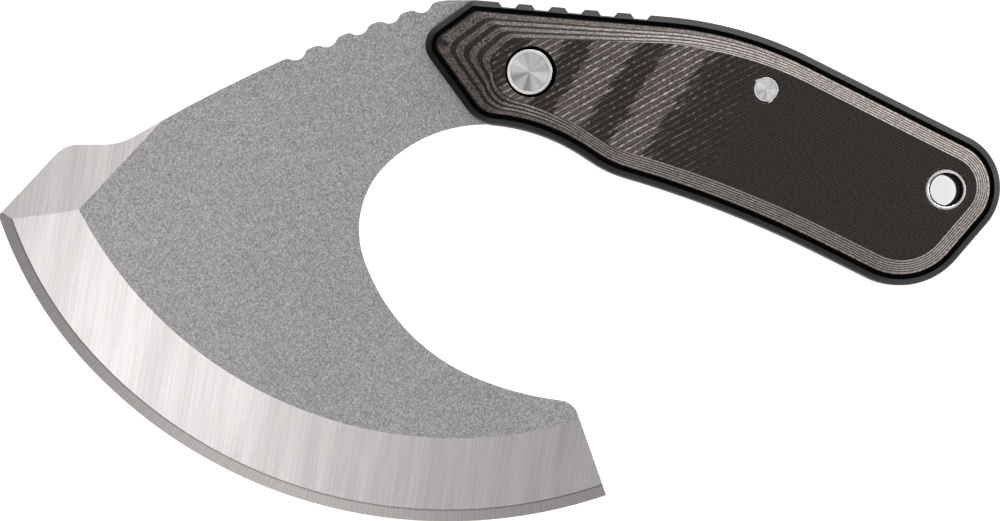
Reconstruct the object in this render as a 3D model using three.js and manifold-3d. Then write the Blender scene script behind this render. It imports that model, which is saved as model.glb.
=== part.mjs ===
// Ulu knife: a broad curved blade on a full tang, a rubber grip moulded round the tang, and a pair of
// contoured laminate scales let into the grip and held by a rivet, a pin and a lanyard tube.
//
// The knife lies on its side. Plan view: +X runs to the butt of the grip and +Y to the spine.
// Heights are measured from the middle plane of the blade, and both faces of the knife are alike.
import * as THREE from 'three';
import { mergeVertices } from 'three/addons/utils/BufferGeometryUtils.js';
import Module from 'manifold-3d';

// Fits, in millimetres like every size below
const SIDE_CLEARANCE = 0.25; // round a piece that sits in a pocket
const HOLE_CLEARANCE = 0.2; // round a pin or a shank, on the radius
const END_CLEARANCE = 0.3; // beyond the end of a shank

// Blade steel
const BLADE_THICKNESS = 4;
const SHOULDER_THICKNESS = 1.3; // where the main bevel ends and the sharpened bevel begins
const EDGE_THICKNESS = 0.1;
const SHARPENED_WIDTH = 2.4;
const FALSE_EDGE_THICKNESS = 0.5;

// Cutting edge: a belly arc and a tighter arc toward the tip that is tangent to it.
// Edge angles are in degrees from straight down, positive toward the heel.
const BELLY_CENTRE_X = -10.5;
const BELLY_CENTRE_Y = 46.2;
const BELLY_RADIUS = 98.5;
const TIP_ARC_RADIUS = 81.6;
const TIP_ARC_START = -47;
const TIP_ANGLE = -71.6;
const HEEL_ANGLE = 18.8;

// Main bevel: its upper line is an arc of its own, so the bevel narrows toward the tip
const BEVEL_DEPTH = 13.9;
const BEVEL_CENTRE_SHIFT_X = 1.5;
const BEVEL_CENTRE_SHIFT_Y = 2.8;
const BEVEL_RUNOUT = 10; // in degrees, past the tip and past the heel

// Spine, from the spur above the tip to the crest in front of the grip
const SPUR = { x: -87, y: 23.1, r: 1.6 };
const SPUR_NOTCH = { x: -75.9, y: 23.1, r: 11.6 };
const SPINE_BEND = { x: -41.7, y: 42.4, r: 285 };
const CREST_LEAD = 5.8; // from the crest to the grip
const CREST_RADIUS = 6;
const FALSE_EDGE_WIDTH = 11;

// Thumb scallops in the spine
const SCALLOP_COUNT = 5;
const SCALLOP_PITCH = 6.7;
const SCALLOP_LEAD = 10.4; // from the grip to the first scallop
const SCALLOP_RADIUS = 2.2;
const SCALLOP_DEPTH = 1.2;

// Finger opening: tangent arcs from the grip round to the heel, with their sweeps in degrees
const OPENING_ARCS = [
  { radius: 28.5, sweep: 42.7 },
  { radius: 18.3, sweep: 66.4 },
  { radius: 39.6, sweep: 47.2 },
  { radius: 63.3, sweep: 16.8 },
];
const HEEL_TAIL = 2.6; // from the last arc to the corner of the heel
const HEEL_RADIUS = 4;

// Grip outline, counter-clockwise from the front, each corner with the radius that rounds it.
// crown is how far the bevel of the scale is drawn out at the front, on the edges that arrive at the
// corner and leave it. The other corners have the even bevel.
const GRIP_FRONT = { x: -16.7, y: 43.9, r: 4.6, crown: [10.1, 8] };
const GRIP_LOWER_FRONT = { x: -4.6, y: 27.3, r: 7.6, crown: [4, 4] };
const FINGER_GROOVE = { x: 8.5, y: 25.9, r: 38.6 };
const FINGER_SWELL = { x: 21.5, y: 17.4, r: 23.8 };
const PALM_HOLLOW = { x: 45.2, y: 10.4, r: 232 };
const BUTT_BOTTOM = { x: 83.4, y: -8.6, r: 14.6 };
const BUTT_TOP = { x: 106.3, y: 18, r: 11.1 };
const GRIP_HUMP = { x: 48.4, y: 47.2, r: 78 };
const GRIP_UPPER_FRONT = { x: -5.7, y: 51.9, r: 2, crown: [5.1, 9.3] };

// Rubber grip
const GRIP_WALL = 3.4; // of rubber between the outline and the tang
const WEB_THICKNESS = 1.3; // of rubber between the tang and each scale
const RIM_WIDTH = 1.2;
const RIM_HEIGHT = 6.4;
const SIDE_HEIGHT = 4.4; // of the upright side below the rounded shoulder
const GROOVE_WIDTH = 1;
const GROOVE_DEPTH = 2.6;
const SHOULDER_STEPS = 3;

// Thumb notches across the top of the grip
const NOTCH_COUNT = 5;
const NOTCH_PITCH = 6.6;
const NOTCH_LEAD = 7.5; // from the upper front corner to the middle of the first notch
const NOTCH_DEPTH = 0.9;
const NOTCH_MOUTH = 4;
const NOTCH_FLOOR = 2.6;

// Scales: a flat crown that ramps down to a level front, inside a bevel of changing width
const GRIP_THICKNESS = 20;
const CROWN_HEIGHT = 3; // of the bevel
const CROWN_WIDTH = 2.8; // of the even bevel
const FRONT_CROWN_HEIGHT = 2.1; // of the part of the bevel that is drawn out at the front
const SCALE_RADIUS = 2.5; // least radius of the scale's corners
const CROWN_RADIUS = 3; // least radius of the crown's corners
const RAMP_ANGLE = 2.4;
const RAMP_LENGTH = 28; // from the rivet back to the crease where the ramp begins
const RAMP_RUN = 22.7; // from the crease to where the ramp levels out
const RAMP_LEAN = 57; // of the crease, in degrees from the X axis

// Tang shoulders and windows, through which the rubber locks to itself
const SHOULDER_SETBACK = 0.6; // behind the upper front corner of the grip
const CHOIL_SETBACK = 2.6; // behind the lower front corner of the grip
const CHOIL_LEAD = 1; // of straight in front of the choil's shoulder
const CHOIL_DROP = 0.2; // below the lower front corner of the grip
const WINDOW_WIDTH = 7;
const WINDOW_MARGIN = 7; // from a fastener's axis to the window

// Front rivet: a barrel and a post, pressed together, with alike heads
const RIVET = { x: 5.9, y: 37.4 };
const RIVET_HEAD_DIAMETER = 9;
const RIVET_HEAD_THICKNESS = 1.8;
const RIVET_HEAD_CHAMFER = 0.35;
const RIVET_HEAD_SINK = 0.15; // below the scale's level front
const COUNTERBORE_CLEARANCE = 0.5;
const BARREL_DIAMETER = 6;
const POST_DIAMETER = 3.6;

// Rear pin
const PIN = { x: 52.9, y: 33.9 };
const PIN_DIAMETER = 4.9;
const PIN_CHAMFER = 0.25;
const PIN_SINK = 0.1; // below the scale's face

// Lanyard tube, flared at both ends into countersinks
const LANYARD_DROP = 0.5; // below the centre of the arc round the top of the butt
const TUBE_DIAMETER = 7.2;
const TUBE_BORE = 6.2;
const FLARE_DIAMETER = 8.2;
const FLARE_HEIGHT = 0.9;
const FLARE_LIP = 0.3;
const TUBE_SINK = 0.1; // below the scale's face

// Fineness of round stretches
const CHORD_ERROR = 0.02;
const EDGE_STATIONS = 72;
const ROUND_SEGMENTS = 40;
const STRAIGHT_STEP = 10;
const SMALLEST_RADIUS = 0.5;

const wasm = await Module();
wasm.setup();

// Heights above the middle plane
const bladeFace = BLADE_THICKNESS / 2;
const pocketFloor = bladeFace + WEB_THICKNESS;
const gripFace = GRIP_THICKNESS / 2;
const grooveFloor = RIM_HEIGHT - GROOVE_DEPTH;
const beyond = GRIP_THICKNESS; // clear of every face

// Solids

/** Turns a closed geometry into a solid with its faces pointing outward. */
function solid(geometry) {
  const bare = geometry.clone();
  bare.deleteAttribute('normal');
  bare.deleteAttribute('uv');
  const merged = mergeVertices(bare);
  const { array } = merged.attributes.position;
  const corner = (i) => new THREE.Vector3().fromArray(array, 3 * i);
  const triangles = [];
  let volume = 0;
  for (let i = 0; i < merged.index.count; i += 3) {
    const [a, b, c] = [0, 1, 2].map((k) => merged.index.getX(i + k));
    if (a === b || b === c || c === a) continue;
    triangles.push([a, b, c]);
    volume += corner(a).dot(corner(b).cross(corner(c)));
  }
  const outward = volume > 0 ? triangles : triangles.map(([a, b, c]) => [a, c, b]);
  const triVerts = Uint32Array.from(outward.flat());
  return new wasm.Manifold(new wasm.Mesh({ numProp: 3, vertProperties: array, triVerts }));
}

/** Turns a solid back into a geometry. */
function geometryOf(manifold) {
  const { vertProperties, triVerts } = manifold.getMesh();
  const geometry = new THREE.BufferGeometry();
  geometry.setAttribute('position', new THREE.BufferAttribute(vertProperties, 3));
  geometry.setIndex(new THREE.BufferAttribute(triVerts, 1));
  geometry.computeVertexNormals();
  return geometry;
}

/** Skins closed sections of equal count, and caps the first and last. flatten lays a cap on a plane. */
function loft(sections, flatten = (p) => new THREE.Vector2(p.x, p.y)) {
  const count = sections[0].length;
  const index = [];
  for (let s = 0; s + 1 < sections.length; s += 1) {
    for (let i = 0; i < count; i += 1) {
      const next = (i + 1) % count;
      const [a, b] = [s * count + i, s * count + next];
      const [c, d] = [b + count, a + count];
      index.push(a, b, c, a, c, d);
    }
  }
  const last = (sections.length - 1) * count;
  const cap = (section) => {
    const flat = section.map((p) => flatten(p, section[0]));
    return THREE.ShapeUtils.triangulateShape(flat, []);
  };
  cap(sections[0]).forEach(([a, b, c]) => index.push(a, c, b));
  cap(sections.at(-1)).forEach(([a, b, c]) => index.push(last + a, last + b, last + c));
  const geometry = new THREE.BufferGeometry().setFromPoints(sections.flat());
  geometry.setIndex(index);
  return solid(geometry);
}

/** Raises a plan outline from one height to another. */
function prism(points, bottom, top) {
  const settings = { depth: top - bottom, bevelEnabled: false };
  return solid(new THREE.ExtrudeGeometry(new THREE.Shape(points), settings).translate(0, 0, bottom));
}

/** Turns a profile of [radius, height] points about a vertical axis. */
function turned(profile, place = { x: 0, y: 0 }) {
  const points = profile.map(([radius, height]) => new THREE.Vector2(radius, height));
  const geometry = new THREE.LatheGeometry(points, ROUND_SEGMENTS).rotateX(Math.PI / 2);
  return solid(geometry.translate(place.x, place.y, 0));
}

/** A hole right through the grip. */
function through(place, diameter) {
  const radius = diameter / 2;
  return turned([[0, -beyond], [radius, -beyond], [radius, beyond], [0, beyond]], place);
}

/** The same solid on the other face of the knife. */
function mirrored(manifold) {
  return solid(geometryOf(manifold).scale(1, 1, -1));
}

// Outlines

const vector = ({ x, y }) => new THREE.Vector2(x, y);
const polar = (angle) => new THREE.Vector2(Math.sin(angle), -Math.cos(angle)); // from straight down
const radians = THREE.MathUtils.degToRad;

/** Directions of the edges that arrive at a corner and leave it. */
function edgesAt(corners, i) {
  const here = vector(corners[i]);
  const arriving = here.clone().sub(vector(corners.at(i - 1))).normalize();
  const leaving = vector(corners[(i + 1) % corners.length]).sub(here).normalize();
  return [arriving, leaving];
}

/** Moves the edges of a counter-clockwise outline inward. widths gives the two distances at a corner. */
function inset(corners, widths, leastRadius = SMALLEST_RADIUS) {
  return corners.map((corner, i) => {
    const [a, b] = edgesAt(corners, i);
    const [arriving, leaving] = widths(corner);
    const turn = a.cross(b);
    const radius = corner.r - (Math.sign(turn) * (arriving + leaving)) / 2;
    const shift = b.multiplyScalar(arriving).sub(a.multiplyScalar(leaving)).divideScalar(turn);
    const place = vector(corner).add(shift);
    return { ...corner, x: place.x, y: place.y, r: Math.max(radius, leastRadius) };
  });
}

/** The arc that rounds a corner: its centre, start angle, sweep and the length of edge it takes up. */
function cornerArc(corners, i) {
  const [a, b] = edgesAt(corners, i);
  const { r } = corners[i];
  const sweep = Math.atan2(a.cross(b), a.dot(b));
  const reach = r * Math.tan(Math.abs(sweep) / 2);
  const start = vector(corners[i]).addScaledVector(a, -reach);
  const inward = new THREE.Vector2(-a.y, a.x).multiplyScalar(Math.sign(sweep));
  const centre = start.clone().addScaledVector(inward, r);
  return { centre, sweep, reach, begin: start.sub(centre).angle() };
}

/** Gives each corner the count of steps that keeps its arc true, which insets of it then keep. */
function stepped(corners) {
  return corners.map((corner, i) => {
    const finest = 2 * Math.acos(1 - CHORD_ERROR / Math.max(corner.r, CHORD_ERROR));
    const gap = vector(corner).distanceTo(vector(corners[(i + 1) % corners.length]));
    const steps = Math.ceil(Math.abs(cornerArc(corners, i).sweep) / finest);
    return { ...corner, steps: corner.r > 0 ? steps : 0, splits: Math.ceil(gap / STRAIGHT_STEP) };
  });
}

/** Points along an outline with its corners rounded and its long straights split. */
function outlinePoints(corners) {
  const rounded = corners.map((corner, i) => {
    const { centre, sweep, begin } = cornerArc(corners, i);
    return Array.from({ length: corner.steps + 1 }, (_, k) => {
      const angle = begin + (sweep * k) / Math.max(corner.steps, 1);
      return new THREE.Vector2(Math.cos(angle), Math.sin(angle)).multiplyScalar(corner.r).add(centre);
    });
  });
  return rounded.flatMap((arc, i) => {
    const end = arc.at(-1);
    const next = rounded[(i + 1) % rounded.length][0];
    const { splits } = corners[i];
    const straight = Array.from({ length: splits - 1 }, (_, k) => end.clone().lerp(next, (k + 1) / splits));
    return [...arc, ...straight];
  });
}

const atHeight = (points, height) => points.map((p) => new THREE.Vector3(p.x, p.y, height));

// Grip outlines, all inset from the one outer outline

const gripCorners = stepped([
  GRIP_FRONT,
  GRIP_LOWER_FRONT,
  FINGER_GROOVE,
  FINGER_SWELL,
  PALM_HOLLOW,
  BUTT_BOTTOM,
  BUTT_TOP,
  GRIP_HUMP,
  GRIP_UPPER_FRONT,
]);
const gripInset = (distance) => outlinePoints(inset(gripCorners, () => [distance, distance]));
const scaleInset = RIM_WIDTH + GROOVE_WIDTH;
const lanyard = cornerArc([BUTT_BOTTOM, BUTT_TOP, GRIP_HUMP], 1).centre;
lanyard.y -= LANYARD_DROP;

// Cutting edge and main bevel

const bellyCentre = new THREE.Vector2(BELLY_CENTRE_X, BELLY_CENTRE_Y);
const tangency = polar(radians(TIP_ARC_START));
const tipCentre = bellyCentre.clone().addScaledVector(tangency, BELLY_RADIUS - TIP_ARC_RADIUS);
const bevelCentre = new THREE.Vector2(BEVEL_CENTRE_SHIFT_X, BEVEL_CENTRE_SHIFT_Y).add(bellyCentre);
const bevelRadius = BELLY_RADIUS - BEVEL_DEPTH;
const edgeAngles = Array.from({ length: EDGE_STATIONS + 1 }, (_, k) => (
  THREE.MathUtils.lerp(TIP_ANGLE, HEEL_ANGLE, k / EDGE_STATIONS)
));

/** A place on the cutting edge, with the direction square to the edge. */
function edgeStation(degrees) {
  const outward = polar(radians(degrees));
  const onTipArc = degrees < TIP_ARC_START;
  const radius = onTipArc ? TIP_ARC_RADIUS : BELLY_RADIUS;
  const point = outward.clone().multiplyScalar(radius).add(onTipArc ? tipCentre : bellyCentre);
  return { point, outward };
}

/** How far inside the edge the main bevel begins. */
function bevelWidth({ point, outward }) {
  const arm = point.clone().sub(bevelCentre);
  const along = outward.dot(arm);
  return along - Math.sqrt(along ** 2 - arm.lengthSq() + bevelRadius ** 2);
}

/** Takes the main bevel and the sharpened bevel off one face, and runs on past both ends of the edge. */
function bevelCutter() {
  const angles = [TIP_ANGLE - BEVEL_RUNOUT, ...edgeAngles, HEEL_ANGLE + BEVEL_RUNOUT];
  const sections = angles.map((angle) => {
    const station = edgeStation(angle);
    const profile = [
      [-bevelWidth(station), bladeFace],
      [-SHARPENED_WIDTH, SHOULDER_THICKNESS / 2],
      [SHARPENED_WIDTH, EDGE_THICKNESS - SHOULDER_THICKNESS / 2],
      [SHARPENED_WIDTH, beyond],
      [-bevelWidth(station), beyond],
    ];
    return profile.map(([out, height]) => {
      const place = station.point.clone().addScaledVector(station.outward, out);
      return new THREE.Vector3(place.x, place.y, height);
    });
  });
  const upright = (p, first) => new THREE.Vector2(Math.hypot(p.x - first.x, p.y - first.y), p.z);
  return loft(sections, upright);
}

/** Takes the flat false edge off one face, along the straight between the tip and the spur. */
function falseEdgeCutter() {
  const tip = edgeStation(TIP_ANGLE).point;
  const along = vector(SPUR).sub(tip).normalize();
  const inward = new THREE.Vector2(along.y, -along.x);
  const fall = (bladeFace - FALSE_EDGE_THICKNESS / 2) / FALSE_EDGE_WIDTH;
  const overrun = FALSE_EDGE_WIDTH;
  const profile = [
    [FALSE_EDGE_WIDTH, bladeFace],
    [FALSE_EDGE_WIDTH, beyond],
    [-overrun, beyond],
    [-overrun, FALSE_EDGE_THICKNESS / 2 - fall * overrun],
  ];
  const reach = vector(SPUR_NOTCH).distanceTo(tip) + overrun;
  const sections = [-overrun, reach].map((distance) => profile.map(([across, height]) => {
    const place = tip.clone().addScaledVector(along, distance).addScaledVector(inward, across);
    return new THREE.Vector3(place.x, place.y, height);
  }));
  return loft(sections, (p, first) => new THREE.Vector2(vector(p).sub(vector(first)).dot(inward), p.z));
}

// Blade

/** Points along the finger opening, from the grip to the heel, and the direction at its end. */
function fingerOpening(start) {
  let heading = Math.PI;
  let here = start.clone().setX(start.x - CHOIL_LEAD);
  const points = [start, here];
  for (const { radius, sweep } of OPENING_ARCS) {
    const centre = new THREE.Vector2(-Math.sin(heading), Math.cos(heading)).multiplyScalar(radius).add(here);
    const steps = Math.ceil(radians(sweep) / (2 * Math.acos(1 - CHORD_ERROR / radius)));
    for (let k = 1; k <= steps; k += 1) {
      const angle = heading + (radians(sweep) * k) / steps;
      points.push(new THREE.Vector2(Math.sin(angle), -Math.cos(angle)).multiplyScalar(radius).add(centre));
    }
    here = points.at(-1);
    heading += radians(sweep);
  }
  return { points, direction: new THREE.Vector2(Math.cos(heading), Math.sin(heading)) };
}

const spineShoulder = { x: GRIP_UPPER_FRONT.x + SHOULDER_SETBACK, y: GRIP_UPPER_FRONT.y };
const choil = { x: GRIP_LOWER_FRONT.x + CHOIL_SETBACK, y: GRIP_LOWER_FRONT.y - CHOIL_DROP };
const crest = { x: GRIP_UPPER_FRONT.x - CREST_LEAD, y: GRIP_UPPER_FRONT.y, r: CREST_RADIUS };

/** Outline of the blade in front of the grip, counter-clockwise from the tip. */
function bladeCorners() {
  const sharp = ({ x, y }) => ({ x, y, r: 0 });
  const edge = edgeAngles.map((angle) => edgeStation(angle).point);
  const opening = fingerOpening(vector(choil));
  const heelTop = opening.points.at(-1).clone().addScaledVector(opening.direction, HEEL_TAIL);
  return stepped([
    ...edge.map(sharp),
    { x: heelTop.x, y: heelTop.y, r: HEEL_RADIUS },
    ...opening.points.toReversed().map(sharp),
    sharp(spineShoulder),
    crest,
    SPINE_BEND,
    SPUR_NOTCH,
    SPUR,
  ]);
}

/** Thumb scallops, set out along the arc of the spine from the grip toward the tip. */
function scallopCutters() {
  const { centre } = cornerArc([crest, SPINE_BEND, SPUR_NOTCH], 1);
  const firstX = spineShoulder.x - SCALLOP_LEAD;
  const firstAngle = Math.acos((firstX - centre.x) / SPINE_BEND.r);
  const reach = SPINE_BEND.r + SCALLOP_RADIUS - SCALLOP_DEPTH;
  return Array.from({ length: SCALLOP_COUNT }, (_, k) => {
    const angle = firstAngle + (k * SCALLOP_PITCH) / SPINE_BEND.r;
    const place = new THREE.Vector2(Math.cos(angle), Math.sin(angle)).multiplyScalar(reach).add(centre);
    return through(place, 2 * SCALLOP_RADIUS);
  });
}

/** A slot with round ends between two fasteners, narrowed by a clearance for the rubber in it. */
function windowPrism(from, to, clearance, height) {
  const along = vector(to).sub(vector(from)).normalize();
  const start = vector(from).addScaledVector(along, WINDOW_MARGIN + WINDOW_WIDTH / 2);
  const end = vector(to).addScaledVector(along, -WINDOW_MARGIN - WINDOW_WIDTH / 2);
  const radius = WINDOW_WIDTH / 2 - clearance;
  const angle = along.angle();
  const slot = new THREE.Shape();
  slot.absarc(end.x, end.y, radius, angle - Math.PI / 2, angle + Math.PI / 2);
  slot.absarc(start.x, start.y, radius, angle + Math.PI / 2, angle + (3 * Math.PI) / 2);
  return prism(slot.getPoints(Math.ceil(ROUND_SEGMENTS / 4)), -height, height);
}

const windowSpans = [[RIVET, PIN], [PIN, lanyard]];

function blade() {
  let body = prism(outlinePoints(bladeCorners()), -bladeFace, bladeFace);
  body = body.add(prism(gripInset(GRIP_WALL), -bladeFace, bladeFace));
  for (const cutter of [bevelCutter(), falseEdgeCutter()]) {
    body = body.subtract(cutter).subtract(mirrored(cutter));
  }
  for (const cutter of scallopCutters()) body = body.subtract(cutter);
  for (const [from, to] of windowSpans) body = body.subtract(windowPrism(from, to, 0, beyond));
  body = body.subtract(through(RIVET, BARREL_DIAMETER + 2 * HOLE_CLEARANCE));
  body = body.subtract(through(PIN, PIN_DIAMETER + 2 * HOLE_CLEARANCE));
  return body.subtract(through(lanyard, TUBE_DIAMETER + 2 * HOLE_CLEARANCE));
}

// Rubber grip

/** The moulded outer form: upright sides and a rounded shoulder up to the rim on each face. */
function gripForm() {
  const shoulder = Array.from({ length: SHOULDER_STEPS + 1 }, (_, k) => {
    const angle = (Math.PI / 2) * (k / SHOULDER_STEPS);
    const height = SIDE_HEIGHT + (RIM_HEIGHT - SIDE_HEIGHT) * Math.sin(angle);
    return { height, points: gripInset(RIM_WIDTH * (1 - Math.cos(angle))) };
  });
  const lower = shoulder.toReversed().map(({ height, points }) => atHeight(points, -height));
  return loft([...lower, ...shoulder.map(({ height, points }) => atHeight(points, height))]);
}

/** The recess on one face: a pocket for the scale, with an open groove round it. */
function scalePocket() {
  const groove = prism(gripInset(RIM_WIDTH), grooveFloor, beyond);
  return groove.add(prism(gripInset(scaleInset - SIDE_CLEARANCE), pocketFloor, beyond));
}

/** The space that the tang and the root of the blade take up, open to the front. */
function tangCavity() {
  const front = GRIP_FRONT.x - beyond;
  const slot = [
    new THREE.Vector2(front, choil.y - beyond),
    new THREE.Vector2(choil.x + SIDE_CLEARANCE, choil.y - beyond),
    new THREE.Vector2(choil.x + SIDE_CLEARANCE, choil.y),
    new THREE.Vector2(spineShoulder.x + SIDE_CLEARANCE, spineShoulder.y),
    new THREE.Vector2(spineShoulder.x + SIDE_CLEARANCE, spineShoulder.y + beyond),
    new THREE.Vector2(front, spineShoulder.y + beyond),
  ];
  const tang = prism(gripInset(GRIP_WALL - SIDE_CLEARANCE), -bladeFace, bladeFace);
  let cavity = tang.add(prism(slot, -bladeFace, bladeFace));
  for (const [from, to] of windowSpans) {
    cavity = cavity.subtract(windowPrism(from, to, SIDE_CLEARANCE, beyond));
  }
  return cavity;
}

/** Thumb notches, square to the straight along the top of the grip. */
function notchCutters() {
  const start = vector(GRIP_UPPER_FRONT);
  const along = vector(GRIP_HUMP).sub(start).normalize();
  const outerWidth = 2 * NOTCH_MOUTH - NOTCH_FLOOR; // as far above the grip as the floor is below
  const section = [
    new THREE.Vector2(-NOTCH_FLOOR / 2, -NOTCH_DEPTH),
    new THREE.Vector2(NOTCH_FLOOR / 2, -NOTCH_DEPTH),
    new THREE.Vector2(outerWidth / 2, NOTCH_DEPTH),
    new THREE.Vector2(-outerWidth / 2, NOTCH_DEPTH),
  ];
  const pivot = new THREE.Vector2();
  return Array.from({ length: NOTCH_COUNT }, (_, k) => {
    const place = start.clone().addScaledVector(along, NOTCH_LEAD + k * NOTCH_PITCH);
    const across = section.map((p) => p.clone().rotateAround(pivot, along.angle()).add(place));
    return prism(across, -beyond, beyond);
  });
}

function gripOvermould() {
  const pocket = scalePocket();
  let body = gripForm().subtract(pocket).subtract(mirrored(pocket)).subtract(tangCavity());
  for (const cutter of notchCutters()) body = body.subtract(cutter);
  body = body.subtract(through(RIVET, BARREL_DIAMETER + 2 * HOLE_CLEARANCE));
  body = body.subtract(through(PIN, PIN_DIAMETER + 2 * HOLE_CLEARANCE));
  return body.subtract(through(lanyard, TUBE_DIAMETER + 2 * HOLE_CLEARANCE));
}

// Fasteners

const rampDrop = RAMP_RUN * Math.tan(radians(RAMP_ANGLE));
const rivetFace = gripFace - rampDrop - RIVET_HEAD_SINK;
const rivetSeat = rivetFace - RIVET_HEAD_THICKNESS;
const pinFace = gripFace - PIN_SINK;
const tubeFace = gripFace - TUBE_SINK;

/** Profile of a rivet head from its rim inward, on the upper face. */
function rivetHeadProfile() {
  const radius = RIVET_HEAD_DIAMETER / 2;
  return [
    [radius, rivetSeat],
    [radius, rivetFace - RIVET_HEAD_CHAMFER],
    [radius - RIVET_HEAD_CHAMFER, rivetFace],
    [0, rivetFace],
  ];
}

function rivetBarrel() {
  const bore = POST_DIAMETER / 2 + HOLE_CLEARANCE;
  const end = END_CLEARANCE - rivetSeat;
  return turned([
    [0, rivetSeat],
    [bore, rivetSeat],
    [bore, end],
    [BARREL_DIAMETER / 2, end],
    [BARREL_DIAMETER / 2, rivetSeat],
    ...rivetHeadProfile(),
  ]);
}

function rivetPost() {
  const shank = [[0, rivetSeat - END_CLEARANCE], [POST_DIAMETER / 2, rivetSeat - END_CLEARANCE]];
  const head = rivetHeadProfile().map(([radius, height]) => [radius, -height]);
  return turned([...shank, [POST_DIAMETER / 2, -rivetSeat], ...head]);
}

function rearPin() {
  const radius = PIN_DIAMETER / 2;
  return turned([
    [0, -pinFace],
    [radius - PIN_CHAMFER, -pinFace],
    [radius, PIN_CHAMFER - pinFace],
    [radius, pinFace - PIN_CHAMFER],
    [radius - PIN_CHAMFER, pinFace],
    [0, pinFace],
  ]);
}

function lanyardTube() {
  const outer = TUBE_DIAMETER / 2;
  const bore = TUBE_BORE / 2;
  const flare = FLARE_DIAMETER / 2;
  const mouth = bore + (flare - outer) / 2;
  const upper = [
    [outer, tubeFace - FLARE_LIP - FLARE_HEIGHT],
    [flare, tubeFace - FLARE_LIP],
    [flare - FLARE_LIP / 2, tubeFace],
    [mouth, tubeFace],
    [bore, tubeFace - FLARE_HEIGHT],
  ];
  const lower = upper.toReversed().map(([radius, height]) => [radius, -height]);
  return turned([...upper, ...lower, upper[0]]);
}

// Scales

/** Takes the ramp and the level front off a scale, from the crease forward. */
function rampCutter() {
  const crease = new THREE.Vector2(Math.cos(radians(RAMP_LEAN)), Math.sin(radians(RAMP_LEAN)));
  const forward = new THREE.Vector2(-crease.y, crease.x);
  const onCrease = vector(RIVET).addScaledVector(forward, -RAMP_LENGTH);
  const reach = 2 * vector(GRIP_FRONT).distanceTo(onCrease);
  const front = gripFace - rampDrop;
  const profile = [[0, gripFace], [RAMP_RUN, front], [reach, front], [reach, beyond], [0, beyond]];
  const sections = [reach, -reach].map((distance) => profile.map(([ahead, height]) => {
    const place = onCrease.clone().addScaledVector(crease, distance).addScaledVector(forward, ahead);
    return new THREE.Vector3(place.x, place.y, height);
  }));
  return loft(sections, (p, first) => new THREE.Vector2(vector(p).sub(vector(first)).dot(forward), p.z));
}

/** Hole for the rivet with a counterbore for its head. */
function rivetHole() {
  const shank = BARREL_DIAMETER / 2 + HOLE_CLEARANCE;
  const head = RIVET_HEAD_DIAMETER / 2 + COUNTERBORE_CLEARANCE;
  const profile = [[0, 0], [shank, 0], [shank, rivetSeat], [head, rivetSeat], [head, beyond], [0, beyond]];
  return turned(profile, RIVET);
}

/** Hole for the lanyard tube with a countersink for its flare. */
function tubeHole() {
  const shank = TUBE_DIAMETER / 2 + HOLE_CLEARANCE;
  const flare = FLARE_DIAMETER / 2 + HOLE_CLEARANCE;
  const sinkTop = tubeFace - FLARE_LIP - HOLE_CLEARANCE;
  const sinkFloor = sinkTop - FLARE_HEIGHT;
  const profile = [[0, 0], [shank, 0], [shank, sinkFloor], [flare, sinkTop], [flare, beyond], [0, beyond]];
  return turned(profile, lanyard);
}

function scale() {
  const outline = inset(gripCorners, () => [scaleInset, scaleInset], SCALE_RADIUS);
  const evenWidth = CROWN_WIDTH * (FRONT_CROWN_HEIGHT / CROWN_HEIGHT);
  const drawnOut = ({ crown = [evenWidth, evenWidth] }) => crown;
  const full = (corner) => drawnOut(corner).map((width) => Math.max(width, CROWN_WIDTH));
  const bevelFoot = gripFace - CROWN_HEIGHT;
  const body = loft([
    atHeight(outlinePoints(outline), pocketFloor),
    atHeight(outlinePoints(outline), bevelFoot),
    atHeight(outlinePoints(inset(outline, drawnOut, CROWN_RADIUS)), bevelFoot + FRONT_CROWN_HEIGHT),
    atHeight(outlinePoints(inset(outline, full, CROWN_RADIUS)), gripFace),
  ]);
  const pinHole = through(PIN, PIN_DIAMETER + 2 * HOLE_CLEARANCE);
  return body.subtract(rampCutter()).subtract(rivetHole()).subtract(pinHole).subtract(tubeHole());
}

// Finishes

const blastedSteel = { color: 0x929292, roughness: 0.5, metalness: 1 };
const turnedSteel = { color: 0xb9b7b4, roughness: 0.3, metalness: 1 };
const blackRubber = { color: 0x2f2f30, roughness: 0.8, metalness: 0 };
const glassLaminate = { color: 0x6c655f, roughness: 0.6, metalness: 0 };

function piece(name, manifold, finish, place = { x: 0, y: 0 }) {
  const mesh = new THREE.Mesh(geometryOf(manifold), new THREE.MeshStandardMaterial(finish));
  mesh.name = name;
  mesh.position.set(place.x, place.y, 0);
  return mesh;
}

const upperScale = scale();
const knife = new THREE.Group();
knife.add(piece('blade', blade(), blastedSteel));
knife.add(piece('grip_overmould', gripOvermould(), blackRubber));
knife.add(piece('left_scale', upperScale, glassLaminate));
knife.add(piece('right_scale', mirrored(upperScale), glassLaminate));
knife.add(piece('front_rivet_barrel', rivetBarrel(), turnedSteel, RIVET));
knife.add(piece('front_rivet_post', rivetPost(), turnedSteel, RIVET));
knife.add(piece('rear_pin', rearPin(), turnedSteel, PIN));
knife.add(piece('lanyard_tube', lanyardTube(), turnedSteel, lanyard));

// Stand the knife on its right scale, centred on its own box
const box = new THREE.Box3().setFromObject(knife);
const middle = box.getCenter(new THREE.Vector3());
knife.position.set(-middle.x, -middle.y, -box.min.z);

const part = new THREE.Group();
part.add(knife);
export default part;
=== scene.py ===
"""An ulu knife with a ground blade, a rubber grip and carved laminate scales, in a plain studio.

The knife lies on its right scale. +X runs to the butt of the grip, +Y to the spine, and the middle
plane of the blade is level. Sizes in the classes are in millimetres, as on a drawing, and the meshes
are in metres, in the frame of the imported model.
"""

import logging
import math
from dataclasses import dataclass, replace
from enum import Enum, IntEnum
from typing import Callable, Optional, Sequence, Union

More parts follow.
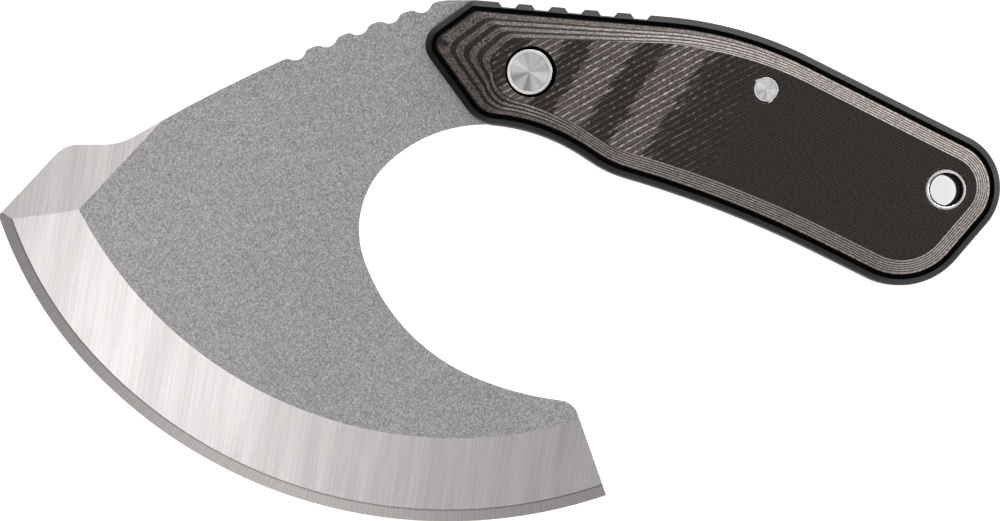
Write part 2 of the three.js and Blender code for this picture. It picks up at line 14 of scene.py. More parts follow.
import bmesh
import bpy
import numpy as np
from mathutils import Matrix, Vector


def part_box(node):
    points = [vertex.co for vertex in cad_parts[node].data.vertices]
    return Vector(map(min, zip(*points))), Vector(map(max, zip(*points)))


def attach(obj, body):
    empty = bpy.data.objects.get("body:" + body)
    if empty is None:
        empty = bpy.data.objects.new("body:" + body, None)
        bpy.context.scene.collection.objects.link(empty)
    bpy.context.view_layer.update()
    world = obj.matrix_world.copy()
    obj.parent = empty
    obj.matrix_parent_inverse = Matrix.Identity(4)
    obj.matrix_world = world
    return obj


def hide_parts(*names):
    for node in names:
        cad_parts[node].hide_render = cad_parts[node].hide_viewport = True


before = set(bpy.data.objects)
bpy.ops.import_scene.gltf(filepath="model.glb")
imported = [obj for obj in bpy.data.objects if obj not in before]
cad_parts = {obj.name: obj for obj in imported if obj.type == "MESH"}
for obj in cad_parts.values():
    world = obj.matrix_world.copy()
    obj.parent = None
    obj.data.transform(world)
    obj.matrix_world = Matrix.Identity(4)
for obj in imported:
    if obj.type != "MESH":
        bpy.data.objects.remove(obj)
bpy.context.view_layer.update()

LOG = logging.getLogger("knife")
MM = 0.001
BODY = "root"
SIDES = 128
# Points that are nearer than this, in metres, are one point
WELD = 1e-7
# Where most values of a noise lie
NOISE = (0.3, 0.7)
UNIT = (0.0, 1.0)

Object = bpy.types.Object
Material = bpy.types.Material
NodeTree = bpy.types.NodeTree
Node = bpy.types.Node
Socket = bpy.types.NodeSocket
Shape = bmesh.types.BMesh
Vert = bmesh.types.BMVert
Edge = bmesh.types.BMEdge
Face = bmesh.types.BMFace
Pair = tuple[float, float]
Colour = tuple[float, float, float, float]
Ramp = tuple[tuple[float, str], ...]
Value = Union[Socket, Material, float, int, str, Sequence[float]]
Inputs = dict[Union[int, str], Value]


class Slot(Enum):
    """The record's material slots."""

    BLADE = "blade_steel"
    GRIP = "grip_rubber"
    SCALE = "scale_laminate"
    FASTENER = "fastener_steel"


class Side(Enum):
    """The two faces of the knife, as the direction away from the blade's middle plane."""

    LEFT = 1
    RIGHT = -1


class Work(IntEnum):
    """How a face of the blade was worked, as its finish's place among the blade's materials."""

    BLASTED = 0
    GROUND = 1
    HONED = 2
    BROKEN = 3


def linear(hex_colour: str) -> Colour:
    """Turns an sRGB hex value into linear red, green, blue and alpha.

    Args:
        hex_colour: a colour such as "#8f8f8f".

    Returns:
        The four linear channels.
    """
    channels = [int(hex_colour[i:i + 2], 16) / 255 for i in (1, 3, 5)]
    red, green, blue = (c / 12.92 if c <= 0.04045 else ((c + 0.055) / 1.055) ** 2.4 for c in channels)
    return red, green, blue, 1.0


def plug(tree: NodeTree, node: Node, inputs: Inputs) -> None:
    """Fills sockets of a node.

    Args:
        tree: the node tree.
        node: the node.
        inputs: another node's output or a plain value, by the socket's name or place.
    """
    for key, value in inputs.items():
        if isinstance(value, Socket):
            tree.links.new(value, node.inputs[key])
        else:
            node.inputs[key].default_value = value


def add(tree: NodeTree, kind: str, inputs: Optional[Inputs] = None, **settings) -> Node:
    """Adds a node to a tree.

    Args:
        tree: the node tree.
        kind: the node's type.
        inputs: what goes into its sockets, by name or place: another node's output, or a plain value.
        settings: the node's own properties.

    Returns:
        The new node.
    """
    node = tree.nodes.new(kind)
    for name, value in settings.items():
        setattr(node, name, value)
    plug(tree, node, inputs or {})
    return node


def span(start: Pair, end: Pair = UNIT) -> Inputs:
    """The sockets of a map range that takes one span of values to another."""
    return dict(enumerate((*start, *end), 1))


def empty_tree(owner: Union[Material, bpy.types.World]) -> NodeTree:
    """Gives a material or a world a node tree with nothing in it.

    Args:
        owner: the material or the world.

    Returns:
        The tree.
    """
    owner.use_nodes = True
    owner.node_tree.nodes.clear()
    return owner.node_tree


# Finishes


@dataclass(frozen=True)
class Sheet:
    """A material on the bench: its tree, its surface shader, and where on the knife, in millimetres."""

    tree: NodeTree
    shader: Node
    place: Socket

    def add(self, kind: str, inputs: Optional[Inputs] = None, out: Union[int, str] = 0,
            **settings) -> Socket:
        """Adds a node to the material, as add does.

        Args:
            kind: the node's type, without the word ShaderNode.
            inputs: what goes into its sockets.
            out: the output that is wanted, by name or place.
            settings: the node's own properties.

        Returns:
            The output.
        """
        return add(self.tree, f"ShaderNode{kind}", inputs, **settings).outputs[out]

    def coat(self, values: Inputs, height: Optional[Socket] = None, relief: Pair = UNIT) -> None:
        """Fills sockets of the surface shader.

        Args:
            values: another node's output or a plain value, by the socket's name.
            height: the pattern by which the surface rises and falls, if it does.
            relief: how strongly that shows, and how high it is.
        """
        if height is not None:
            strength, rise = relief
            bump = self.add("Bump", {"Height": height, "Strength": strength, "Distance": rise * MM})
            values = {**values, "Normal": bump}
        plug(self.tree, self.shader, values)

    def grain(self, size: Sequence[float], detail: float, place: Optional[Socket] = None) -> Socket:
        """Draws noise with marks of a given size.

        Args:
            size: how long the marks are in X, Y and Z, with 0 for a way in which they never end.
            detail: how many finer layers there are.
            place: where it is read, if not straight on the knife.

        Returns:
            The noise.
        """
        spot = self.place if place is None else place
        scale = [1 / length if length else 0 for length in size]
        marks = self.add("VectorMath", {0: spot, 1: scale}, operation="MULTIPLY")
        return self.add("TexNoise", {"Vector": marks, "Scale": 1.0, "Detail": detail})

    def upright(self) -> Socket:
        """Measures how level the surface lies.

        Returns:
            0 on a wall, up to 1 on a flat.
        """
        normal = self.add("NewGeometry", out="True Normal")
        part = self.add("SeparateXYZ", {0: normal}, 2)
        return self.add("Math", {0: part}, operation="ABSOLUTE")

    def off_middle(self, middle: float) -> Socket:
        """Measures how far a point is from the blade's middle plane.

        Args:
            middle: the height of that plane.

        Returns:
            The distance.
        """
        height = self.add("SeparateXYZ", {0: self.place}, 2)
        above = self.add("Math", {0: height, 1: middle}, operation="SUBTRACT")
        return self.add("Math", {0: above}, operation="ABSOLUTE")

    def blend(self, tones: Ramp, level: Socket) -> Socket:
        """Turns a level into a colour.

        Args:
            tones: levels in rising order, each with its colour.
            level: the level, from 0 to 1.

        Returns:
            The colour.
        """
        ramp = add(self.tree, "ShaderNodeValToRGB", {"Fac": level})
        elements = ramp.color_ramp.elements
        stops = [(position, linear(tone)) for position, tone in tones]
        elements[0].position, elements[0].color = stops[0]
        elements[1].position, elements[1].color = stops[-1]
        for position, colour in stops[1:-1]:
            elements.new(position).color = colour
        return ramp.outputs[0]


@dataclass(frozen=True)
class Finish:
    """A surface finish, which becomes one material.

    In the finishes, tones are the colours of a pattern from its lowest level to its highest, and relief
    is how strongly the pattern shows as a relief and how high that is.
    """

    name: str

    def material(self) -> Material:
        """Makes the material and lets the finish paint it.

        Returns:
            The finished material.
        """
        material = bpy.data.materials.new(self.name)
        tree = empty_tree(material)
        shader = add(tree, "ShaderNodeBsdfPrincipled")
        add(tree, "ShaderNodeOutputMaterial", {"Surface": shader.outputs["BSDF"]})
        place = add(tree, "ShaderNodeTexCoord").outputs["Object"]
        scaled = add(tree, "ShaderNodeVectorMath", {0: place, "Scale": 1 / MM}, operation="SCALE")
        self.paint(Sheet(tree, shader, scaled.outputs[0]))
        return material

    def paint(self, sheet: Sheet) -> None:
        """Fills the material that is on the bench."""
        raise NotImplementedError


@dataclass(frozen=True)
class BlastedSteel(Finish):
    """Stainless steel blasted with fine grit: a flat grey with a salt-and-pepper grain, and no direction.

    The marks are drawn coarser than the real grit's 0.1 mm, which a picture of the whole knife can't show.
    """

    tones: Ramp = ((0.1, "#8a8888"), (0.5, "#acaaaa"), (0.9, "#d4d2d2"))
    grit: float = 0.18
    cloud: float = 30.0
    cloudiness: float = 0.12
    relief: Pair = (0.1, 0.01)
    roughness: float = 0.45

    def paint(self, sheet: Sheet) -> None:
        """Scatters dark pits and bright glints of the grit's size over the grey.

        Args:
            sheet: the material.
        """
        grit = sheet.add("TexVoronoi", {"Vector": sheet.place, "Scale": 1 / self.grit}, "Color")
        cloud = sheet.grain((self.cloud,) * 3, 1.0)
        drift = sheet.add("Math", {0: cloud, 1: self.cloudiness, 2: -self.cloudiness / 2},
                          operation="MULTIPLY_ADD")
        level = sheet.add("Math", {0: grit, 1: drift}, operation="ADD")
        colour = sheet.blend(self.tones, level)
        sheet.coat({"Base Color": colour, "Metallic": 1.0, "Roughness": self.roughness}, grit, self.relief)


@dataclass(frozen=True)
class SatinSteel(Finish):
    """Belt-ground stainless steel: bright, with faint long scratches that all lean one way.

    The scratches are drawn wider than a real belt's 0.05 mm, which would be lost at this size of picture.
    """

    tones: Ramp = ((0.36, "#bdb9b8"), (0.64, "#d2cecd"))
    lean: float = 10.0
    width: float = 0.3
    length: float = 14.0
    band: float = 4.0
    relief: Pair = (0.02, 0.01)
    roughness: float = 0.27

    def paint(self, sheet: Sheet) -> None:
        """Draws fine scratches and broad bands as noise that is stretched along the belt's travel.

        Args:
            sheet: the material.
        """
        turn = (0, 0, math.radians(self.lean))
        belt = sheet.add("Mapping", {"Vector": sheet.place, "Rotation": turn})
        scratches = sheet.grain((self.width, self.length, 0), 3.0, belt)
        bands = sheet.grain((self.band, self.length * self.band, 0), 3.0, belt)
        both = sheet.add("Math", {0: scratches, 1: bands}, operation="ADD")
        level = sheet.add("Math", {0: both, 1: 0.5}, operation="MULTIPLY")
        colour = sheet.blend(self.tones, level)
        sheet.coat({"Base Color": colour, "Metallic": 1.0, "Roughness": self.roughness},
                   scratches, self.relief)


@dataclass(frozen=True)
class HonedSteel(Finish):
    """A sharpened bevel: darker than the grind above it, with stone marks square to the edge.

    The marks are drawn wider than a real stone's few hundredths of a millimetre. Along the shoulder, where
    the two grinds meet, a thin burr is darker still.
    """

    centre: Pair
    middle: float
    tones: Ramp = ((0.0, "#6a6462"), (0.3, "#a39e9d"), (0.65, "#c8c2c1"))
    shoulder: float = 0.65
    burr_height: float = 0.1
    burr: float = 0.5
    width: float = 0.2
    radius: float = 98.5
    relief: Pair = (0.1, 0.01)
    roughness: float = 0.3

    def paint(self, sheet: Sheet) -> None:
        """Draws the stone marks by the angle about the edge's centre, and a dark burr along the shoulder.

        Args:
            sheet: the material.
        """
        reach = sheet.add("VectorMath", {0: sheet.place, 1: (*self.centre, 0)}, operation="SUBTRACT")
        parts = add(sheet.tree, "ShaderNodeSeparateXYZ", {0: reach}).outputs
        angle = sheet.add("Math", {0: parts[0], 1: parts[1]}, operation="ARCTAN2")
        along = sheet.add("Math", {0: angle, 1: self.radius / self.width}, operation="MULTIPLY")
        marks = sheet.add("TexNoise", {"W": along, "Scale": 1.0, "Detail": 3.0}, noise_dimensions="1D")
        near = span((self.shoulder - self.burr_height, self.shoulder), (0.0, self.burr))
        burr = sheet.add("MapRange", {"Value": sheet.off_middle(self.middle), **near})
        level = sheet.add("Math", {0: marks, 1: burr}, operation="SUBTRACT")
        colour = sheet.blend(self.tones, level)
        sheet.coat({"Base Color": colour, "Metallic": 1.0, "Roughness": self.roughness}, marks, self.relief)


@dataclass(frozen=True)
class BrokenEdge(Finish):
    """The narrow chamfer left where a belt broke the corners of the steel: bright and nearly polished."""

    tones: Ramp = ((0.3, "#d9d6d4"), (0.7, "#f6f4f2"))
    length: float = 2.0
    roughness: float = 0.3

    def paint(self, sheet: Sheet) -> None:
        """Lets the brightness of the chamfer come and go along its length."""
        colour = sheet.blend(self.tones, sheet.grain((self.length,) * 3, 3.0))
        sheet.coat({"Base Color": colour, "Metallic": 1.0, "Roughness": self.roughness})


@dataclass(frozen=True)
class MouldedRubber(Finish):
    """Black thermoplastic rubber from a spark-eroded mould: satin, with its sheen turned down in the groove
    as painted shade.

    The grain is drawn coarser than the mould's real 0.05 mm. A face nearer the middle plane than groove,
    and more level than floor, is the groove's; shine is the sheen of the rest, and the lower sheen
    that paints shade into the groove.
    """

    middle: float
    groove: float
    tones: Ramp = ((0.3, "#161617"), (0.7, "#222223"))
    spark: float = 0.24
    floor: float = 0.9
    shine: Pair = (0.35, 0.03)
    relief: Pair = (0.3, 0.05)
    ior: float = 1.52
    roughness: float = 0.52

    def paint(self, sheet: Sheet) -> None:
        """Gives the black a fine grain and a faint sheen, and turns the sheen down in the groove as painted
        shade.

        Args:
            sheet: the material.
        """
        grain = sheet.grain((self.spark,) * 3, 2.0)
        # Painted shade: the groove's level floor loses most of its sheen, so that it reads as dead black
        floor = sheet.add("Math", {0: sheet.upright(), 1: self.floor}, operation="GREATER_THAN")
        low = sheet.add("Math", {0: sheet.off_middle(self.middle), 1: self.groove}, operation="LESS_THAN")
        sunk = sheet.add("Math", {0: floor, 1: low}, operation="MULTIPLY")
        shine = sheet.add("MapRange", {"Value": sunk, **span(UNIT, self.shine)})
        sheet.coat({"Base Color": sheet.blend(self.tones, grain), "Roughness": self.roughness,
                    "IOR": self.ior, "Specular IOR Level": shine}, grain, self.relief)


@dataclass(frozen=True)
class GlassLaminate(Finish):
    """Epoxy laminate of black and grey cloth: the plies show as contour lines where it is carved.

    A shallow ramp cuts the plies so slowly that the weave of each cloth shows: rows of yarn, every second
    one paler, with ragged ends and short bright dashes where a yarn comes up. A bevel crosses the plies
    and shows only their edges. The fibres inside a yarn are drawn far coarser than the real 0.01 mm.

    Sizes: fibre, dash, streak and edge_grain are those of the marks, ply and yarn the pitch of each, skin
    the black face's own depth, and hole the depth below the face past which a level floor is painted black
    as painted shade. Spans: lying and steep are of how level the cut is, opening and tearing are of the
    distance in front of the crease, and the rest are of noise or of tone.
    """

    middle: float
    face: float
    crease: Pair
    fall: Pair
    black_tones: Ramp = ((0.1, "#0f0c0a"), (0.5, "#3b322c"), (1.0, "#5c524c"))
    grey_tones: Ramp = ((0.0, "#2a2320"), (0.5, "#80756f"), (1.0, "#e2d8d2"))
    fleck: str = "#e2d8d2"
    shadow: str = "#000000"
    hole: float = 1.3
    front: float = 22.6
    lift: float = 0.05
    skin: float = 0.005
    ply: float = 0.53
    ply_blur: float = 0.05
    grey_share: float = 0.54
    yarn: float = 0.605
    yarn_angle: float = 29.0
    yarn_tone: float = 0.13
    streak: float = 5.0
    streak_tone: Pair = (0.05, 0.24)
    fibre: Pair = (0.5, 0.2)
    fibre_noise: Pair = (0.28, 0.72)
    fibre_tone: Pair = (0.02, 0.5)
    pale_rows: Pair = (0.1, 0.9)
    dash: Pair = (0.9, 0.5)
    dash_noise: Pair = (0.52, 0.72)
    dash_glint: Pair = (0.38, 0.22)
    edge_grain: Pair = (0.4, 0.12)
    edge_tone: Pair = (-0.06, 0.52)
    lying: Pair = (0.993, 0.997)
    steep: Pair = (0.97, 0.8)
    steep_tone: float = 0.42
    opening: Pair = (-15.0, 2.0)
    tearing: Pair = (-3.0, 1.0)
    ragged: float = 0.22
    ragged_bevel: float = 0.15
    shine: Pair = (0.3, 0.0)
    relief: Pair = (0.3, 0.04)
    ior: float = 1.55
    roughness: float = 0.55

    def paint(self, sheet: Sheet) -> None:
        """Cuts the plies by height, and lays the weave of the cloth over them.

        Args:
            sheet: the material.
        """
        turn = (0, 0, -math.radians(self.yarn_angle))
        cloth = sheet.add("Mapping", {"Vector": sheet.place, "Rotation": turn})
        drift = sheet.add("TexNoise", {"Vector": cloth, "Scale": 0.5 / self.streak, "Detail": 1.0}, 1)
        crooked = sheet.add("VectorMath", {0: drift, "Scale": self.yarn}, operation="SCALE")
        laid = sheet.add("VectorMath", {0: cloth, 1: crooked})
        flat = sheet.add("VectorMath", {0: laid, 1: (1, 1, 0)}, operation="MULTIPLY")
        # A cut along the cloth gives 1, and a bevel across it gives 0
        lying = sheet.add("MapRange", {"Value": sheet.upright(), **span(self.lying)})
        ahead = self.ahead(sheet)
        opened = sheet.add("MapRange", {"Value": ahead, **span(self.opening)})
        ramped = sheet.add("Math", {0: opened, 1: lying}, operation="MULTIPLY")
        streaks = sheet.grain((self.streak, self.yarn, 1), 1.0, flat)
        weave, pale = self.weave(sheet, flat, streaks, ramped)
        tone = sheet.add("Mix", {"Factor": lying, "A": self.edges(sheet), "B": weave})
        # The steeper the cut, the paler its grey plies are drawn
        steep = span(self.steep, (0.0, self.steep_tone))
        ends = sheet.add("MapRange", {"Value": sheet.upright(), **steep})
        slope_paled = sheet.add("Math", {0: tone, 1: ends}, operation="ADD")
        # Painted shade: a level floor deeper than hole below the face, inside a fastener's hole, is painted
        # black with no sheen
        deep = sheet.add("Math", {0: sheet.off_middle(self.middle), 1: self.face - self.hole},
                         operation="LESS_THAN")
        sunk = sheet.add("Math", {0: deep, 1: lying}, operation="MULTIPLY")
        grey = self.plies(sheet, streaks, ahead, lying)
        glint = self.glints(sheet, flat, pale, grey)
        colour = sheet.blend(self.black_tones, tone)
        layers = ((grey, sheet.blend(self.grey_tones, slope_paled)), (glint, linear(self.fleck)),
                  (sunk, linear(self.shadow)))
        for share, layer in layers:
            mixed = {"Factor": share, "A": colour, "B": layer}
            colour = sheet.add("Mix", mixed, "Result", data_type="RGBA")
        shine = sheet.add("MapRange", {"Value": sunk, **span(UNIT, self.shine)})
        sheet.coat({"Base Color": colour, "Roughness": self.roughness, "IOR": self.ior,
                    "Specular IOR Level": shine}, tone, self.relief)

    def ahead(self, sheet: Sheet) -> Socket:
        """Measures how far in front of the ramp's crease a point is.

        Args:
            sheet: the material.

        Returns:
            The distance.
        """
        way = sheet.add("VectorMath", {0: sheet.place, 1: (*self.crease, 0)}, operation="SUBTRACT")
        return sheet.add("VectorMath", {0: way, 1: (*self.fall, 0)}, "Value", operation="DOT_PRODUCT")

    def edges(self, sheet: Sheet) -> Socket:
        """Draws the ends of cut yarn that a bevel leaves, as short strokes that run level round it.

        Args:
            sheet: the material.

        Returns:
            The tone.
        """
        long, thin = self.edge_grain
        strokes = sheet.grain((long, long, thin), 2.0)
        return sheet.add("MapRange", {"Value": strokes, **span(NOISE, self.edge_tone)})

    def weave(self, sheet: Sheet, flat: Socket, streaks: Socket, ramped: Socket) -> tuple[Socket, Socket]:
        """Draws the rows of yarn, with every second one paler on the ramp.

        Args:
            sheet: the material.
            flat: place in the plane of the cloth, along and across the yarns.
            streaks: noise that is drawn out along the yarns, and makes them differ.
            ramped: how far the ramp has opened the weave.

        Returns:
            The tone, from 0 in the furrows to 1 on the palest rows, and how pale the row is.
        """
        across = sheet.add("SeparateXYZ", {0: flat}, 1)
        waves = []
        for rows in (1, 2):
            turns = sheet.add("Math", {0: across, 1: 2 * math.pi / (self.yarn * rows)}, operation="MULTIPLY")
            waves.append(sheet.add("Math", {0: turns}, operation="COSINE"))
        fibres = sheet.grain((*self.fibre, 0), 1.0, flat)
        rough = sheet.add("MapRange", {"Value": fibres, **span(self.fibre_noise, self.fibre_tone)})
        each = sheet.add("Math", {0: waves[0], 1: self.yarn_tone, 2: rough}, operation="MULTIPLY_ADD")
        vary = sheet.add("MapRange", {"Value": streaks, **span(NOISE, self.streak_tone)})
        second = sheet.add("Math", {0: waves[1], 1: vary}, operation="MULTIPLY")
        tone = sheet.add("Math", {0: second, 1: ramped, 2: each}, operation="MULTIPLY_ADD")
        pale = sheet.add("MapRange", {"Value": waves[1], **span(self.pale_rows)})
        return tone, sheet.add("Math", {0: pale, 1: ramped}, operation="MULTIPLY")

    def plies(self, sheet: Sheet, streaks: Socket, ahead: Socket, lying: Socket) -> Socket:
        """Finds which ply shows: pairs of a grey and a black one below the black face.

        Args:
            sheet: the material.
            streaks: noise that is drawn out along the yarns, and ends them raggedly.
            ahead: the distance in front of the crease, behind which the face is whole.
            lying: where the cut runs along the cloth.

        Returns:
            1 on a grey ply and 0 on a black one.
        """
        uneven = sheet.add("Math", {0: streaks, 1: 0.5}, operation="SUBTRACT")
        near = sheet.add("MapRange", {"Value": ahead, **span(self.tearing, (0.0, self.ragged))})
        torn = sheet.add("MapRange", {"Value": lying, **span(UNIT, (self.ragged_bevel, 1.0))})
        torn = sheet.add("Math", {0: torn, 1: near}, operation="MULTIPLY")
        bare = sheet.add("Math", {0: self.face, 1: sheet.off_middle(self.middle)}, operation="SUBTRACT")
        # The plies rise a little toward the front, so its level cut still runs from one to the next
        rising = span((self.front, self.front + 1 / self.lift))
        risen = sheet.add("MapRange", {"Value": ahead, **rising})
        bare = sheet.add("Math", {0: risen, 1: lying, 2: bare}, operation="MULTIPLY_ADD")
        depth = sheet.add("Math", {0: uneven, 1: torn, 2: bare}, operation="MULTIPLY_ADD")
        pairs = sheet.add("Math", {0: depth, 1: self.ply}, operation="DIVIDE")
        share = sheet.add("Math", {0: pairs}, operation="FRACT")
        none, full = "#000000", "#ffffff"
        last, blur = self.grey_share, self.ply_blur
        grey = sheet.blend(((0.0, none), (blur, full), (last, full), (last + blur, none)), share)
        below = sheet.add("Math", {0: depth, 1: self.skin}, operation="GREATER_THAN")
        return sheet.add("Math", {0: grey, 1: below}, operation="MULTIPLY")

    def glints(self, sheet: Sheet, flat: Socket, pale: Socket, grey: Socket) -> Socket:
        """Sets bright dashes along the pale rows, where a yarn comes up in the weave.

        Args:
            sheet: the material.
            flat: place in the plane of the cloth, along and across the yarns.
            pale: how pale the row is.
            grey: where a grey ply shows.

        Returns:
            How strongly a dash glints.
        """
        dashes = sheet.grain((*self.dash, 0), 0.0, flat)
        picked = sheet.add("MapRange", {"Value": dashes, **span(self.dash_noise)})
        more, least = self.dash_glint
        level = sheet.add("Math", {0: grey, 1: more, 2: least}, operation="MULTIPLY_ADD")
        glint = sheet.add("Math", {0: picked, 1: pale}, operation="MULTIPLY")
        return sheet.add("Math", {0: glint, 1: level}, operation="MULTIPLY")


@dataclass(frozen=True)
class TurnedSteel(Finish):
    """Stainless steel faced on a lathe: fine rings that draw the light out into bright cones.

    The rings are drawn coarser than a real tool's feed of 0.05 mm, so that they show at all.
    """

    axis: Pair
    tones: Ramp = ((0.2, "#a5a2a0"), (0.8, "#f2f0ef"))
    pitch: float = 0.16
    sector_scale: float = 1.3
    sector_share: float = 0.6
    relief: Pair = (0.25, 0.01)
    roughness: float = 0.32
    anisotropy: float = 0.9

    def paint(self, sheet: Sheet) -> None:
        """Rules rings about the fastener's axis, and paints lighter and darker sectors about it as painted
        highlights.

        Args:
            sheet: the material.
        """
        reach = sheet.add("VectorMath", {0: sheet.place, 1: (*self.axis, 0)}, operation="SUBTRACT")
        flat = sheet.add("VectorMath", {0: reach, 1: (1, 1, 0)}, operation="MULTIPLY")
        radius = sheet.add("VectorMath", {0: flat}, "Value", operation="LENGTH")
        rings = sheet.add("TexNoise", {"W": radius, "Scale": 1 / self.pitch, "Detail": 2.0},
                          noise_dimensions="1D")
        # Painted highlight: the colour is lighter and darker in sectors by the direction about the axis, as
        # lamps' cones would be
        way = sheet.add("VectorMath", {0: flat}, operation="NORMALIZE")
        painted_sector = sheet.add("TexNoise", {"Vector": way, "Scale": self.sector_scale, "Detail": 1.0})
        painted_sector = sheet.add("MapRange", {"Value": painted_sector, **span(NOISE)})
        level = sheet.add("Mix", {"Factor": self.sector_share, "A": rings, "B": painted_sector})
        tangent = sheet.add("Tangent", direction_type="RADIAL", axis="Z")
        sheet.coat({"Base Color": sheet.blend(self.tones, level), "Tangent": tangent, "Metallic": 1.0,
                    "Roughness": self.roughness, "Anisotropic": self.anisotropy}, rings, self.relief)


@dataclass(frozen=True)
class ShadedBore(Finish):
    """The inside of the tube, painted dull and near black as painted shade, so that the hole reads as deep.
    """

    tones: Ramp = ((0.4, "#0f0e0e"), (0.75, "#1f1e1d"))
    length: float = 1.5
    gloss: float = 0.05
    roughness: float = 0.8

    def paint(self, sheet: Sheet) -> None:
        """Leaves paler patches at random in the painted shade."""
        colour = sheet.blend(self.tones, sheet.grain((self.length,) * 3, 2.0))
        sheet.coat({"Base Color": colour, "Specular IOR Level": self.gloss, "Roughness": self.roughness})


# Geometry Nodes


class Tool:
    """A Geometry Nodes tree with named inputs, which is used as a modifier."""

    def __init__(self, name: str, inputs: dict[str, str]) -> None:
        """Starts a tree with a geometry that goes in and one that comes out.

        Args:
            name: the tree's name.
            inputs: the kind of socket for each further input, by its name.
        """
        self.tree = bpy.data.node_groups.new(name, "GeometryNodeTree")
        face = self.tree.interface
        face.new_socket("Geometry", in_out="INPUT", socket_type="NodeSocketGeometry")
        face.new_socket("Geometry", in_out="OUTPUT", socket_type="NodeSocketGeometry")
        self.keys = {}
        for label, kind in {**inputs, "Material": "Material"}.items():
            socket = face.new_socket(label, in_out="INPUT", socket_type=f"NodeSocket{kind}")
            self.keys[label] = socket.identifier
        self.given = add(self.tree, "NodeGroupInput").outputs

    def add(self, kind: str, inputs: Optional[Inputs] = None, **settings) -> Socket:
        """Adds a node to the tree, as add does, and takes its first output."""
        return add(self.tree, kind, inputs, **settings).outputs[0]

    def end(self, geometry: Socket) -> None:
        """Closes the tree: realizes instances and sets the material.

        Args:
            geometry: what the tool has made.
        """
        real = self.add("GeometryNodeRealizeInstances", {0: geometry})
        dressed = self.add("GeometryNodeSetMaterial", {0: real, "Material": self.given["Material"]})
        add(self.tree, "NodeGroupOutput", {0: dressed})

    def use(self, piece: Object, values: dict[str, Value]) -> None:
        """Adds the tree to a piece as a modifier.

        Args:
            piece: the object.
            values: the inputs by name.
        """
        modifier = piece.modifiers.new(self.tree.name, "NODES")
        modifier.node_group = self.tree
        for label, value in values.items():
            modifier[self.keys[label]] = value


def turned_tool() -> Tool:
    """A lathe: turns a profile of radius and height about the vertical axis.

    Returns:
        The tool.
    """
    tool = Tool("turned_piece", {"Sides": "Int", "Circle": "Float", "Axis": "Vector"})
    given = tool.given
    profile = tool.add("GeometryNodeMeshToCurve", {0: given["Geometry"]})
    circle = tool.add("GeometryNodeCurvePrimitiveCircle",
                      {"Resolution": given["Sides"], "Radius": given["Circle"]})
    upright = tool.add("GeometryNodeSetCurveNormal", {0: circle}, mode="Z_UP")
    swept = tool.add("GeometryNodeCurveToMesh", {"Curve": upright, "Profile Curve": profile})
    closed = tool.add("GeometryNodeMergeByDistance", {0: swept, "Distance": WELD})
    tool.end(tool.add("GeometryNodeTransform", {0: closed, "Translation": given["Axis"]}))
    return tool


def notch_tool() -> Tool:
    """A cutter that sinks a row of notches with sloping flanks into the edge of an outline.

    Returns:
        The tool.
    """
    tool = Tool("thumb_notches", {"Count": "Int", "Lead": "Float", "Pitch": "Float", "Mouth": "Float",
                                  "Floor": "Float", "Depth": "Float", "Rim": "Float"})
    given = tool.given
    along = tool.add("GeometryNodeInputNamedAttribute", {"Name": "along"}, data_type="FLOAT")
    draw = tool.add("GeometryNodeInputNamedAttribute", {"Name": "draw"}, data_type="FLOAT_VECTOR")
    past = tool.add("ShaderNodeMath", {0: along, 1: given["Lead"]}, operation="SUBTRACT")
    turn = tool.add("ShaderNodeMath", {0: past, 1: given["Pitch"]}, operation="DIVIDE")
    whole = tool.add("ShaderNodeMath", {0: turn}, operation="ROUND")
    last = tool.add("ShaderNodeMath", {0: given["Count"], 1: 1.0}, operation="SUBTRACT")
    nearest = tool.add("ShaderNodeClamp", {"Value": whole, "Min": 0.0, "Max": last})
    middle = tool.add("ShaderNodeMath", {0: nearest, 1: given["Pitch"]}, operation="MULTIPLY")
    off = tool.add("ShaderNodeMath", {0: past, 1: middle}, operation="SUBTRACT")
    off = tool.add("ShaderNodeMath", {0: off}, operation="ABSOLUTE")
    mouth = tool.add("ShaderNodeMath", {0: given["Mouth"], 1: 0.5}, operation="MULTIPLY")
    floor = tool.add("ShaderNodeMath", {0: given["Floor"], 1: 0.5}, operation="MULTIPLY")
    sunk = tool.add("ShaderNodeMapRange", {"Value": off, **span((mouth, floor), (0.0, given["Depth"]))})
    share = tool.add("ShaderNodeMath", {0: sunk, 1: given["Rim"]}, operation="DIVIDE")
    shift = tool.add("ShaderNodeVectorMath", {0: draw, "Scale": share}, operation="SCALE")
    rest = tool.add("ShaderNodeVectorMath", {0: draw, 1: shift}, operation="SUBTRACT")
    # The shift is stored before the points move, because both are read from the same attribute
    kept = given["Geometry"]
    for name, value in (("notch", shift), ("draw", rest)):
        kept = tool.add("GeometryNodeStoreNamedAttribute", {0: kept, "Name": name, "Value": value},
                        data_type="FLOAT_VECTOR")
    notch = tool.add("GeometryNodeInputNamedAttribute", {"Name": "notch"}, data_type="FLOAT_VECTOR")
    tool.end(tool.add("GeometryNodeSetPosition", {0: kept, "Offset": notch}))
    return tool


